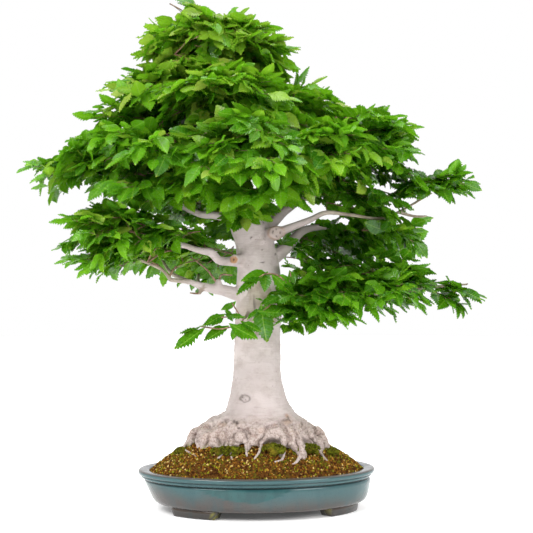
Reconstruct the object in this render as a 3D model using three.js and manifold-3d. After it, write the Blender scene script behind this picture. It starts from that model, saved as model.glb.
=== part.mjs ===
import * as THREE from "three";
import { mergeVertices } from "three/addons/utils/BufferGeometryUtils.js";
import Module from "manifold-3d";

// A Japanese beech bonsai in its oval glazed pot.
// Millimetres, +Z up, +X to the right and +Y away from whoever looks at its front.
// Everything is modelled about the middle of the pot, on the ground, and moved at the end
// so that the origin is the bottom centre of the whole.

const wasm = await Module();
wasm.setup();

// Clearance between pieces that touch.
const gap = 0.35;

// Pot.
const rimHalfLength = 203;
const rimHalfWidth = 148;
const rimHeight = 69;
const rimFlat = 19;
const footHeight = 13;
const grooveHeight = 53;
const lowFullness = 15;
const floorThickness = 7;
const potTurn = THREE.MathUtils.degToRad(7);
const potSides = 32;
const footDepth = 22;
const footSpan = THREE.MathUtils.degToRad(32);
const footAngles = [-135.5, -36.5, 44.5, 135.5].map(THREE.MathUtils.degToRad);
const footOuter = 172;
const drainHoleRadius = 11;
const drainHoleOffset = 88;

// Mesh screens that keep the soil in over the drain holes.
const screenSide = 44;
const screenThickness = 1.5;
const screenCells = 3;
const screenBar = 3.5;

// Soil. The mound is an oval whose half width is the same share of its half length all the way up.
const moundHeight = 51;
const moundWidthShare = 0.7;

// Wood.
const trunkSides = 20;
const limbSides = 6;
const limbStep = 48;

// Foliage pads.
const padSides = 11;
const padRings = 6;
const padUndersideShare = 0.75;

// Joins and cuts.

function solidOf(geometry) {
  const bare = geometry.clone();
  bare.deleteAttribute("normal");
  bare.deleteAttribute("uv");
  const merged = mergeVertices(bare, 1e-3);
  const corners = merged.index.array;
  const kept = [];
  for (let i = 0; i < corners.length; i += 3) {
    const [a, b, c] = [corners[i], corners[i + 1], corners[i + 2]];
    if (a !== b && b !== c && c !== a) kept.push(a, b, c);
  }
  return new wasm.Manifold(
    new wasm.Mesh({
      numProp: 3,
      vertProperties: merged.attributes.position.array,
      triVerts: new Uint32Array(kept),
    }),
  );
}

function geometryOf(solid) {
  const mesh = solid.getMesh();
  const geometry = new THREE.BufferGeometry();
  geometry.setAttribute("position", new THREE.BufferAttribute(mesh.vertProperties, 3));
  geometry.setIndex(new THREE.BufferAttribute(mesh.triVerts, 1));
  geometry.computeVertexNormals();
  return geometry;
}

function joined(solids) {
  return solids.reduce((whole, next) => whole.add(next));
}

function cutBy(solid, cutters) {
  return cutters.reduce((left, cutter) => left.subtract(cutter), solid);
}

// A cut can leave slivers beside the body that counts, so only the biggest body stays.
function biggestBody(solid) {
  return solid.decompose().reduce((best, next) => (next.volume() > best.volume() ? next : best));
}

// Shapes.

// A profile of [radius, height] pairs turned about the Z axis.
function turned(profile, sides) {
  const points = profile.map(([radius, height]) => new THREE.Vector2(radius, height));
  return new THREE.LatheGeometry(points, sides).rotateX(Math.PI / 2);
}

function moveVertices(geometry, place) {
  const position = geometry.attributes.position;
  const point = new THREE.Vector3();
  for (let i = 0; i < position.count; i += 1) {
    point.fromBufferAttribute(position, i);
    place(point);
    position.setXYZ(i, point.x, point.y, point.z);
  }
  return geometry;
}

// The oval narrows by the same amount at every size, so lip and wall keep their width all round.
// Near the middle it keeps its proportions instead. The long walls are steeper than the ends, so
// the oval is fuller low down.
const narrowing = rimHalfLength - rimHalfWidth;

function halfWidthAt(halfLength, height) {
  if (halfLength < 2 * narrowing) return halfLength / 2;
  const share = THREE.MathUtils.clamp((grooveHeight - height) / (grooveHeight - footHeight), 0, 1);
  return halfLength - narrowing + lowFullness * share;
}

function footPoint(halfLength, angle) {
  return new THREE.Vector2(halfLength * Math.cos(angle), halfWidthAt(halfLength, 0) * Math.sin(angle));
}

function ovalised(geometry, widthAt = halfWidthAt) {
  return moveVertices(geometry, (point) => {
    const radius = Math.hypot(point.x, point.y);
    if (radius > 0) point.y *= widthAt(radius, point.z) / radius;
  }).rotateZ(potTurn);
}

// A limb is a tapering round bar along a smooth route, grown by extra all round.
function limb({ route, radii: [startRadius, endRadius] }, extra) {
  const curve = new THREE.CatmullRomCurve3(route.map((p) => new THREE.Vector3(...p)));
  const steps = Math.max(3, Math.round(curve.getLength() / limbStep));
  const frames = curve.computeFrenetFrames(steps, false);
  const ends = [endRadius + extra, startRadius + extra];
  const bar = new THREE.CylinderGeometry(...ends, 1, limbSides, steps);
  return moveVertices(bar, (point) => {
    const along = THREE.MathUtils.clamp(point.y + 0.5, 0, 1);
    const step = Math.round(along * steps);
    const [x, z] = [point.x, point.z];
    curve.getPointAt(along, point);
    point.addScaledVector(frames.normals[step], x);
    point.addScaledVector(frames.binormals[step], -z);
    if (step === 0) point.addScaledVector(frames.tangents[0], -extra);
    if (step === steps) point.addScaledVector(frames.tangents[steps], extra);
  });
}

// Pot: one fired piece with a flat rim, a stepped lip, a groove, four feet and two drain holes.

const floorTop = footHeight + floorThickness;
const innerHalfLength = rimHalfLength - rimFlat;

function potBody() {
  const outside = [
    [0, footHeight],
    [166, footHeight],
    [174, footHeight + 1],
    [179.8, 17.7],
    [183.2, 25.4],
    [188.5, 38],
    [193.5, 52.5],
    [191.5, 54.5],
    [195.5, 55.5],
    [198.5, 57.7],
    [198.8, 60],
    [rimHalfLength - 1.5, 61],
    [rimHalfLength, rimHeight - 1.5],
    [rimHalfLength - 1.5, rimHeight],
  ];
  const inside = [
    [innerHalfLength + 1, rimHeight],
    [innerHalfLength, rimHeight - 2],
    [innerHalfLength - 8, floorTop + 7],
    [innerHalfLength - 14, floorTop],
    [0, floorTop],
  ];
  return solidOf(ovalised(turned([...outside, ...inside], potSides)));
}

function foot(angle) {
  const outline = new THREE.Shape();
  const corners = 5;
  const ends = [angle - footSpan / 2, angle + footSpan / 2];
  const arc = (halfLength, from, to) =>
    Array.from({ length: corners }, (_, i) =>
      footPoint(halfLength, THREE.MathUtils.lerp(from, to, i / (corners - 1))),
    );
  outline.setFromPoints([
    ...arc(footOuter, ends[0], ends[1]),
    ...arc(footOuter - footDepth, ends[1], ends[0]),
  ]);
  const block = new THREE.ExtrudeGeometry(outline, { depth: footHeight + 2, bevelEnabled: false });
  return solidOf(block.rotateZ(potTurn));
}

function acrossPot(x) {
  return new THREE.Vector3(x, 0, 0).applyAxisAngle(new THREE.Vector3(0, 0, 1), potTurn);
}

function drainHole(x) {
  const drill = new THREE.CylinderGeometry(drainHoleRadius, drainHoleRadius, 30, 16);
  const place = acrossPot(x);
  return solidOf(drill.rotateX(Math.PI / 2).translate(place.x, place.y, footHeight + 5));
}

function pot() {
  const clay = joined([potBody(), ...footAngles.map(foot)]);
  return cutBy(clay, [drainHole(-drainHoleOffset), drainHole(drainHoleOffset)]);
}

// Drain screens: square grids that lie on the pot's floor.

function placedAcross(x, geometry, height) {
  const place = acrossPot(x);
  return solidOf(geometry.rotateZ(potTurn).translate(place.x, place.y, height));
}

function drainScreen(x) {
  const height = floorTop + gap + screenThickness / 2;
  const pitch = (screenSide - screenBar) / screenCells;
  const open = pitch - screenBar;
  const middleCell = (screenCells - 1) / 2;
  const cells = [];
  for (let i = 0; i < screenCells; i += 1) {
    for (let j = 0; j < screenCells; j += 1) {
      const cell = new THREE.BoxGeometry(open, open, 3 * screenThickness);
      cell.translate((i - middleCell) * pitch, (j - middleCell) * pitch, 0);
      cells.push(placedAcross(x, cell, height));
    }
  }
  const sheet = new THREE.BoxGeometry(screenSide, screenSide, screenThickness);
  return cutBy(placedAcross(x, sheet, height), cells);
}

function screenPocket(x) {
  const side = screenSide + 2 * gap;
  const thickness = screenThickness + 3 * gap;
  const room = new THREE.BoxGeometry(side, side, thickness);
  return placedAcross(x, room, floorTop - gap / 2 + thickness / 2);
}

// Wood: root flare, trunk and main branches, grown as one piece.

// Height, centre x, centre y, radius and front-to-back share of the trunk, from the roots up.
const trunkRings = [
  [62, 2, 0, 96, 0.76],
  [86, 2, 0, 108, 0.78],
  [110, 2, 0, 114, 0.8],
  [128, 2, 0, 109, 0.82],
  [139, 1, 0, 99, 0.84],
  [150, 0, 0, 85, 0.88],
  [160, 3, 0, 67, 0.94],
  [181, 2, 0, 52, 1],
  [202, 1, 0, 46, 1],
  [233, 0, 0, 41, 1],
  [300, 1, 0, 39.5, 1],
  [377, 4, 0, 39.5, 1],
  [440, -1, 0, 34, 1],
  [485, -14, 0, 33, 1],
  [520, -20, 2, 25, 1],
  [560, -36, 6, 20, 1],
  [640, -62, 12, 14, 1],
  [720, -74, 10, 9.5, 1],
  [800, -78, 4, 6, 1],
  [838, -78, 0, 3.5, 1],
];
const flareTop = 170;
const buttresses = 9;
const buttressShare = 0.07;

function trunk(extra) {
  const heights = trunkRings.map(([height]) => height);
  const low = heights[0] - extra;
  const high = heights.at(-1) + extra;
  const profile = [
    [0, low],
    [trunkRings[0][3] + extra, low],
    ...trunkRings.slice(1, -1).map(([height, , , radius]) => [radius + extra, height]),
    [trunkRings.at(-1)[3] + extra, high],
    [0, high],
  ];
  const ringAt = (height) => {
    const above = heights.findIndex((h) => h >= height - 1e-3);
    return above < 0 ? trunkRings.at(-1) : trunkRings[above];
  };
  return moveVertices(turned(profile, trunkSides), (point) => {
    const [height, x, y, , share] = ringAt(point.z);
    const swell = height < flareTop ? buttressShare : 0;
    const lobe = 1 + swell * Math.cos(buttresses * Math.atan2(point.y, point.x));
    point.x = x + point.x * lobe;
    point.y = y + point.y * lobe * share;
  });
}

// Surface roots and branches: a route and the radius at each end.
const rootLimbs = [
  { route: [[35, -42, 168], [50, -66, 140], [57, -80, 112], [60, -85, 88]], radii: [15, 10] },
  { route: [[52, -30, 166], [76, -56, 138], [86, -70, 110], [90, -76, 86]], radii: [14, 9] },
  { route: [[66, -14, 158], [98, -30, 130], [112, -38, 108], [119, -42, 86]], radii: [13, 8] },
  { route: [[70, 6, 150], [106, 8, 124], [124, 10, 106], [133, 12, 86]], radii: [13, 8] },
  { route: [[-56, -8, 158], [-92, -16, 144], [-112, -20, 120], [-122, -22, 88]], radii: [19, 11] },
  { route: [[-42, -32, 156], [-70, -56, 132], [-84, -68, 108], [-90, -74, 86]], radii: [17, 11] },
  { route: [[-8, -46, 156], [-13, -68, 128], [-16, -80, 106], [-18, -85, 86]], radii: [15, 10] },
  { route: [[16, 42, 152], [28, 68, 124], [35, 80, 100], [38, 84, 84]], radii: [14, 9] },
  { route: [[-46, 34, 152], [-72, 56, 126], [-84, 66, 104], [-90, 70, 84]], radii: [15, 9] },
  { route: [[62, 28, 150], [92, 44, 124], [106, 52, 102], [112, 55, 84]], radii: [13, 8] },
];

const branchLimbs = [
  // Lowest left branch, under the left side.
  {
    route: [
      [-20, -2, 364], [-56, -9, 373], [-97, -14, 381], [-130, -17, 389],
      [-163, -20, 409], [-205, -25, 428], [-262, -30, 452],
    ],
    radii: [11, 2.5],
  },
  { route: [[-115, -16, 387], [-150, 20, 404], [-172, 62, 436]], radii: [5, 2.5] },
  { route: [[-92, -12, 379], [-104, 60, 390], [-104, 140, 414]], radii: [5, 2.5] },
  { route: [[-14, -22, 336], [-18, -56, 330], [-30, -104, 324]], radii: [5, 2.4] },
  // Middle left branch, which ends in a cut knob.
  { route: [[-20, -8, 423], [-64, -20, 424], [-80, -24, 439], [-107, -31, 444], [-129, -34, 450]], radii: [9, 5] },
  // Upper left branch.
  {
    route: [[-20, 0, 488], [-74, -2, 502], [-104, -4, 506], [-180, -8, 545], [-275, -10, 590]],
    radii: [8, 2.5],
  },
  { route: [[-130, -5, 518], [-152, -50, 556], [-158, -95, 590]], radii: [4, 2.2] },
  { route: [[-98, -4, 505], [-112, 70, 512], [-120, 140, 520]], radii: [5, 2.2] },
  // Right branch behind the trunk.
  {
    route: [[16, 10, 420], [52, 26, 448], [86, 46, 479], [150, 90, 484], [200, 125, 480]],
    radii: [12, 2.5],
  },
  // Grey branch behind the callus.
  { route: [[12, 10, 472], [52, 24, 512], [92, 40, 536], [160, 40, 552]], radii: [9, 2.4] },
  // Right branch from the callus, towards the front.
  {
    route: [
      [10, -10, 460], [46, -26, 476], [88, -38, 492], [118, -44, 505],
      [160, -38, 501], [220, -26, 498], [300, -8, 540],
    ],
    radii: [9, 2.4],
  },
  { route: [[243, -22, 506], [268, -12, 500], [292, -4, 500]], radii: [3.4, 2] },
  // Lowest right branch.
  {
    route: [
      [10, -8, 366], [45, -24, 358], [93, -38, 348], [150, -44, 362],
      [245, -36, 374], [310, -16, 380], [362, -8, 384],
    ],
    radii: [9, 2.2],
  },
  { route: [[100, -38, 349], [150, 30, 368], [195, 95, 384]], radii: [4.5, 2.2] },
  // Upper right branches.
  {
    route: [[-12, -4, 500], [40, -22, 556], [96, -32, 606], [140, -30, 616], [215, -18, 602]],
    radii: [11, 2.5],
  },
  { route: [[-4, 10, 480], [44, 50, 520], [78, 92, 576], [108, 128, 628]], radii: [11, 2.5] },
  { route: [[-50, 8, 600], [10, 16, 646], [60, 20, 676], [106, 24, 690]], radii: [7, 2.2] },
  // Front and crown branches.
  { route: [[-14, -14, 484], [-8, -62, 506], [0, -104, 524]], radii: [6, 2.2] },
  { route: [[-26, -8, 530], [-26, -70, 560], [-24, -150, 592]], radii: [8, 2.5] },
  { route: [[-40, 6, 566], [-110, 50, 592], [-165, 110, 608]], radii: [8, 2.5] },
  { route: [[-54, 8, 610], [-110, 4, 660], [-175, 0, 696]], radii: [8, 2.5] },
  { route: [[-60, 4, 636], [-52, -50, 664], [-40, -100, 686]], radii: [6.5, 2.2] },
  { route: [[-64, 18, 650], [-44, 70, 674], [-30, 120, 694]], radii: [6.5, 2.2] },
  { route: [[-74, 10, 712], [-30, 6, 736], [34, 2, 756]], radii: [6, 2.2] },
  { route: [[-77, 6, 760], [-104, 0, 784], [-146, -6, 798], [-184, -10, 798]], radii: [5, 2.2] },
  // Leaves that hang in front of the lower trunk.
  { route: [[12, -30, 352], [34, -62, 360], [50, -98, 362]], radii: [3.6, 2.2] },
];

function wood(extra) {
  const bars = [...rootLimbs, ...branchLimbs].map((shape) => solidOf(limb(shape, extra)));
  return joined([solidOf(trunk(extra)), ...bars]);
}

// Soil: fills the pot and rises in a mound round the roots.

function soilHalfWidthAt(halfLength, height) {
  return height > rimHeight ? halfLength * moundWidthShare : halfWidthAt(halfLength, height);
}

function soilBlank(extra) {
  const wallClearance = gap - extra;
  const profile = [
    [0, floorTop + wallClearance],
    [innerHalfLength - 14 - gap + extra, floorTop + wallClearance],
    [innerHalfLength - 8 - gap + extra, floorTop + 7],
    [innerHalfLength - 1 - gap + extra, rimHeight - 4],
    [176, rimHeight + 3 + extra],
    [158, rimHeight + 17 + extra],
    [128, rimHeight + 35 + extra],
    [104, rimHeight + 48 + extra],
    [0, rimHeight + moundHeight + extra],
  ];
  return solidOf(ovalised(turned(profile, potSides), soilHalfWidthAt));
}

// Moss cushions at the foot of the roots: centre x, y, z and half sizes.
const mossCushions = {
  moss_front_left: { centre: [-46, -86, 106], half: [34, 14, 11] },
  moss_front_centre: { centre: [28, -86, 109], half: [24, 14, 14] },
  moss_front_right: { centre: [84, -68, 108], half: [26, 13, 13] },
  moss_right: { centre: [128, -36, 99], half: [13, 18, 9] },
  moss_left: { centre: [-128, -36, 99], half: [12, 18, 9] },
  moss_back: { centre: [-20, 96, 100], half: [36, 15, 11] },
};

function cushion({ centre, half }) {
  const dome = new THREE.SphereGeometry(1, 9, 5).rotateX(Math.PI / 2);
  return solidOf(dome.scale(...half).translate(...centre));
}

// Foliage pads: centre and half sizes of the leaves that each branch carries.
const pads = {
  foliage_apex_centre: { centre: [-78, 0, 801], half: [92, 120, 67] },
  foliage_apex_left: { centre: [-144, -7, 786], half: [74, 96, 66] },
  foliage_apex_right: { centre: [0, 0, 772], half: [74, 112, 70] },
  foliage_shoulder_left: { centre: [-204, 0, 704], half: [104, 135, 74] },
  foliage_shoulder_front: { centre: [-56, -125, 680], half: [128, 95, 80] },
  foliage_shoulder_back: { centre: [-40, 150, 687], half: [125, 95, 76] },
  foliage_shoulder_right: { centre: [100, 10, 676], half: [90, 112, 62] },
  foliage_left_tip: { centre: [-318, -14, 578], half: [87, 96, 54] },
  foliage_left_front: { centre: [-168, -120, 582], half: [134, 112, 84] },
  foliage_left_back: { centre: [-175, 144, 587], half: [129, 109, 76] },
  foliage_left_middle: { centre: [-240, -20, 628], half: [94, 150, 66] },
  foliage_centre_front: { centre: [-22, -190, 584], half: [112, 92, 80] },
  foliage_centre_right: { centre: [70, -95, 552], half: [60, 56, 42] },
  foliage_right_front: { centre: [116, -80, 604], half: [110, 135, 78] },
  foliage_right_back: { centre: [122, 155, 608], half: [127, 108, 74] },
  foliage_right_outer: { centre: [208, -14, 606], half: [92, 125, 88] },
  foliage_right_tip: { centre: [332, 2, 550], half: [52, 70, 36] },
  foliage_right_inner: { centre: [200, 0, 528], half: [116, 100, 46] },
  foliage_right_middle: { centre: [276, -2, 470], half: [50, 71, 40] },
  foliage_right_inner_low: { centre: [115, 80, 426], half: [85, 75, 42] },
  foliage_centre_low: { centre: [-26, -110, 515], half: [58, 50, 36] },
  foliage_left_low: { centre: [-268, -38, 462], half: [108, 128, 66] },
  foliage_left_low_back: { centre: [-172, 90, 434], half: [81, 96, 50] },
  foliage_back_left: { centre: [-120, 184, 520], half: [117, 93, 41] },
  foliage_back_middle: { centre: [-70, 132, 474], half: [60, 48, 40] },
  foliage_back_low: { centre: [-96, 186, 409], half: [83, 78, 36] },
  foliage_back_right: { centre: [196, 149, 464], half: [123, 96, 50] },
  foliage_right_low: { centre: [128, -72, 356], half: [98, 100, 62] },
  foliage_right_low_outer: { centre: [256, -40, 376], half: [92, 109, 52] },
  foliage_right_low_tip: { centre: [346, -7, 364], half: [38, 59, 28] },
  foliage_right_low_back: { centre: [204, 125, 374], half: [112, 82, 48] },
  foliage_low_front: { centre: [28, -105, 334], half: [44, 40, 38] },
  foliage_low_spray: { centre: [-60, -120, 308], half: [72, 44, 34] },
  foliage_trunk_front: { centre: [16, -105, 380], half: [50, 34, 30] },
};

// A flattened ball with a lumpy edge and a flatter underside.
function pad({ centre, half }, extra) {
  const ball = new THREE.SphereGeometry(1, padSides, padRings).rotateX(Math.PI / 2);
  const phase = centre[0] + centre[2];
  moveVertices(ball, (point) => {
    const angle = Math.atan2(point.y, point.x);
    const lump = 1 + 0.05 * Math.sin(3 * angle + phase) + 0.04 * Math.sin(5 * angle - phase);
    point.x *= lump;
    point.y *= lump;
    if (point.z < 0) point.z *= padUndersideShare;
  });
  const size = half.map((length) => length + extra);
  return solidOf(ball.scale(...size).translate(...centre));
}

// Materials: colour and finish of each kind of surface.

const finishes = {
  glaze: { color: 0x5c8a90, roughness: 0.2, metalness: 0 },
  mesh: { color: 0x2b2b2b, roughness: 0.6, metalness: 0 },
  soil: { color: 0x775329, roughness: 0.95, metalness: 0 },
  moss: { color: 0x5d6b1f, roughness: 0.95, metalness: 0 },
  bark: { color: 0xcdc1be, roughness: 0.85, metalness: 0 },
  leaves: { color: 0x3f8a14, roughness: 0.5, metalness: 0 },
};

function named(name, solid, finish) {
  const mesh = new THREE.Mesh(geometryOf(solid), new THREE.MeshStandardMaterial(finishes[finish]));
  mesh.name = name;
  return mesh;
}

// Assembly.

const bonsai = new THREE.Group();
const tree = wood(0);
const treeRoom = wood(gap);

bonsai.add(named("pot", pot(), "glaze"));
bonsai.add(named("drain_screen_left", drainScreen(-drainHoleOffset), "mesh"));
bonsai.add(named("drain_screen_right", drainScreen(drainHoleOffset), "mesh"));

const pockets = [screenPocket(-drainHoleOffset), screenPocket(drainHoleOffset)];
bonsai.add(named("soil", biggestBody(cutBy(soilBlank(0), [treeRoom, ...pockets])), "soil"));
bonsai.add(named("trunk_and_branches", tree, "bark"));

const soilRoom = soilBlank(gap);
for (const [name, shape] of Object.entries(mossCushions)) {
  const moss = biggestBody(cutBy(cushion(shape), [treeRoom, soilRoom]));
  bonsai.add(named(name, moss, "moss"));
}

const taken = [treeRoom];
for (const [name, shape] of Object.entries(pads)) {
  bonsai.add(named(name, biggestBody(cutBy(pad(shape, 0), taken)), "leaves"));
  taken.push(pad(shape, gap));
}

const reach = new THREE.Box3().setFromObject(bonsai, true);
const middle = reach.getCenter(new THREE.Vector3());
bonsai.position.set(-middle.x, -middle.y, -reach.min.z);

const part = new THREE.Group();
part.add(bonsai);

export default part;
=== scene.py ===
import math

import bpy
import numpy as np
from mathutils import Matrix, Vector, kdtree, noise


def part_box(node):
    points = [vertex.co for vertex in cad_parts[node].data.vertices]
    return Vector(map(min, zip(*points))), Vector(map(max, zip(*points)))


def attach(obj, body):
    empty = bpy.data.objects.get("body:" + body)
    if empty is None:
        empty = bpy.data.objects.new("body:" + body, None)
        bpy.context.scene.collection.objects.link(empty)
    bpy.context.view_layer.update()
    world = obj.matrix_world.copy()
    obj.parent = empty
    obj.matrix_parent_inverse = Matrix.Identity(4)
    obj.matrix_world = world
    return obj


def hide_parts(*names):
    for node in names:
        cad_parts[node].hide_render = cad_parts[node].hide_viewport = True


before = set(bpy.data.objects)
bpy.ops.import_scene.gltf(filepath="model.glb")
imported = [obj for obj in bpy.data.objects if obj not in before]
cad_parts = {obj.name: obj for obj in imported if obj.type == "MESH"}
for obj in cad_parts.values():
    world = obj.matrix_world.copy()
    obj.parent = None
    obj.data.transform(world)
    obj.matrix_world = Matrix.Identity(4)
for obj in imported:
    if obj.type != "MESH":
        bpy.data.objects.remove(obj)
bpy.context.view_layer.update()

# A Japanese beech bonsai in its oval glazed pot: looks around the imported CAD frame.
# Shapes are worked out in millimetres about the middle of the pot, on the ground, as in the
# CAD model, and new_piece moves them to the row frame in metres.

pot_low, pot_high = (np.array(corner) * 1000 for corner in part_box("pot"))
POT_MIDDLE = np.array([*(pot_low + pot_high)[:2] / 2, 0])
UP = np.array([0.0, 0.0, 1.0])
CAMERA_PLACE = (16.3, -2430, 414)


# Arrays.


def unit(vectors):
    return vectors / np.maximum(np.linalg.norm(vectors, axis=-1, keepdims=True), 1e-9)


def blend(start, end, share):
    return start + (end - start) * share


def smooth_step(values, low, high):
    share = np.clip((values - low) / (high - low), 0, 1)
    return share * share * (3 - 2 * share)


def bell(values, width=1.0):
    """1 where the values are 0, falling to nothing a few widths away."""
    return np.exp(-((values / width) ** 2))


def noise_at(points, size, seed=0):
    """Smooth noise between about -1 and 1, whose lumps are about size millimetres wide."""
    places = points / size + seed * 17.3
    return np.array([noise.noise(place) for place in places.tolist()])


def smooth_route(knots, step):
    """Points of any dimension along a smooth curve through the knots, about a step apart."""
    knots = np.asarray(knots, float)
    padded = np.vstack([2 * knots[0] - knots[1], knots, 2 * knots[-1] - knots[-2]])
    shares = np.linspace(0, 1, 9)[:-1, None]
    fine = []
    for a, b, c, d in zip(padded, padded[1:], padded[2:], padded[3:]):
        bow, twist = 2 * a - 5 * b + 4 * c - d, 3 * b - a - 3 * c + d
        fine.append(0.5 * (2 * b + (c - a) * shares + bow * shares**2 + twist * shares**3))
    fine = np.vstack([*fine, knots[-1]])
    travelled = np.append(0, np.cumsum(np.linalg.norm(np.diff(fine[:, :3], axis=0), axis=1)))
    count = max(3, round(travelled[-1] / step) + 1)
    stops = np.linspace(0, travelled[-1], count)
    return np.stack([np.interp(stops, travelled, column) for column in fine.T], axis=1)


def round_angles(sides):
    return np.linspace(0, 2 * np.pi, sides, endpoint=False)


def oval(angles, half_x, half_y, height=0.0):
    """Points at angles round a level oval about the origin."""
    return np.stack([half_x * np.cos(angles), half_y * np.sin(angles), 0 * angles + height], -1)


# Meshes: a shape is its points and a list of arrays of faces.


def joined(shapes):
    points, faces, offset = [], [], 0
    for shape_points, shape_faces in shapes:
        points.append(shape_points)
        faces.extend(group + offset for group in shape_faces)
        offset += len(shape_points)
    return np.vstack(points), faces


def capped(rings, ends):
    """A closed skin over rings of points, all with the same count, which a point at each end caps."""
    count, sides = len(rings), len(rings[0])
    side = np.arange(sides)
    following = (side + 1) % sides
    rows = np.arange(count - 1)[:, None] * sides
    quads = np.stack([rows + side, rows + following, rows + sides + following, rows + sides + side], -1)
    first, last = count * sides, (count - 1) * sides
    start_cap = np.stack([following, side, np.full(sides, first)], -1)
    end_cap = np.stack([last + side, last + following, np.full(sides, first + 1)], -1)
    return np.vstack([*rings, *ends]), [quads.reshape(-1, 4), start_cap, end_cap]


def tube(route, radii, sides):
    """A closed round bar along a route of points, with a slightly domed end."""
    tangents = unit(np.gradient(route, axis=0))
    across = np.empty_like(route)
    helper = UP if abs(tangents[0, 2]) < 0.9 else np.array([1.0, 0.0, 0.0])
    across[0] = unit(np.cross(tangents[0], helper))
    for i in range(1, len(route)):
        across[i] = unit(across[i - 1] - tangents[i] * (across[i - 1] @ tangents[i]))
    other = np.cross(tangents, across)
    angles = round_angles(sides)[:, None, None]
    ring = np.cos(angles) * across + np.sin(angles) * other
    rings = (route + ring * np.asarray(radii)[:, None]).transpose(1, 0, 2)
    ends = [route[0] - tangents[0] * radii[0] * 0.5, route[-1] + tangents[-1] * radii[-1] * 0.5]
    return capped(rings, ends)


def lathe(rings):
    """A closed skin over rings of points, with level ends."""
    return capped(rings, [rings[0].mean(axis=0), rings[-1].mean(axis=0)])


def in_metres(points):
    return ((points + POT_MIDDLE) / 1000).astype(np.float32).ravel()


def new_mesh(name, shape):
    points, groups = shape
    mesh = bpy.data.meshes.new(name)
    mesh.vertices.add(len(points))
    mesh.vertices.foreach_set("co", in_metres(points))
    corners = np.concatenate([group.ravel() for group in groups])
    sizes = np.concatenate([np.full(len(group), group.shape[1]) for group in groups])
    mesh.loops.add(len(corners))
    mesh.loops.foreach_set("vertex_index", corners.astype(np.int32))
    mesh.polygons.add(len(sizes))
    starts = np.append(0, np.cumsum(sizes)[:-1])
    mesh.polygons.foreach_set("loop_start", starts.astype(np.int32))
    mesh.polygons.foreach_set("use_smooth", np.ones(len(sizes), bool))
    mesh.update(calc_edges=True)
    mesh.validate()
    return mesh


def set_map(mesh, places):
    """Gives a mesh one flat place for each of its vertices."""
    corners = np.empty(len(mesh.loops), np.int32)
    mesh.loops.foreach_get("vertex_index", corners)
    layer = mesh.uv_layers.new(name="OFBake")
    layer.uv.foreach_set("vector", places[corners].astype(np.float32).ravel())


def set_values(mesh, **named):
    """Gives a mesh one number for each of its vertices under each name."""
    for name, values in named.items():
        layer = mesh.attributes.new(name, "FLOAT", "POINT")
        layer.data.foreach_set("value", values.astype(np.float32))


def read_vertices(mesh, what):
    values = np.empty(len(mesh.vertices) * 3, np.float32)
    mesh.vertices.foreach_get(what, values)
    return values.reshape(-1, 3).astype(float)


def points_of(mesh):
    return read_vertices(mesh, "co") * 1000 - POT_MIDDLE


def new_object(name, data):
    made = bpy.data.objects.new(name, data)
    bpy.context.scene.collection.objects.link(made)
    return made


def place_points(mesh, points):
    mesh.vertices.foreach_set("co", in_metres(points))
    mesh.update()


def with_modifiers(mesh, *modifiers):
    """The mesh after modifiers, each given as its type and its settings."""
    worker = new_object("worker", mesh)
    for kind, settings in modifiers:
        modifier = worker.modifiers.new(kind.lower(), kind)
        for key, value in settings.items():
            setattr(modifier, key, value)
    graph = bpy.context.evaluated_depsgraph_get()
    made = bpy.data.meshes.new_from_object(worker.evaluated_get(graph))
    bpy.data.objects.remove(worker)
    return made


def new_piece(name, mesh, material, replaces=()):
    mesh.materials.append(material)
    piece = new_object(name, mesh)
    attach(piece, "root")
    if replaces:
        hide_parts(*replaces)


# Materials.


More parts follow.
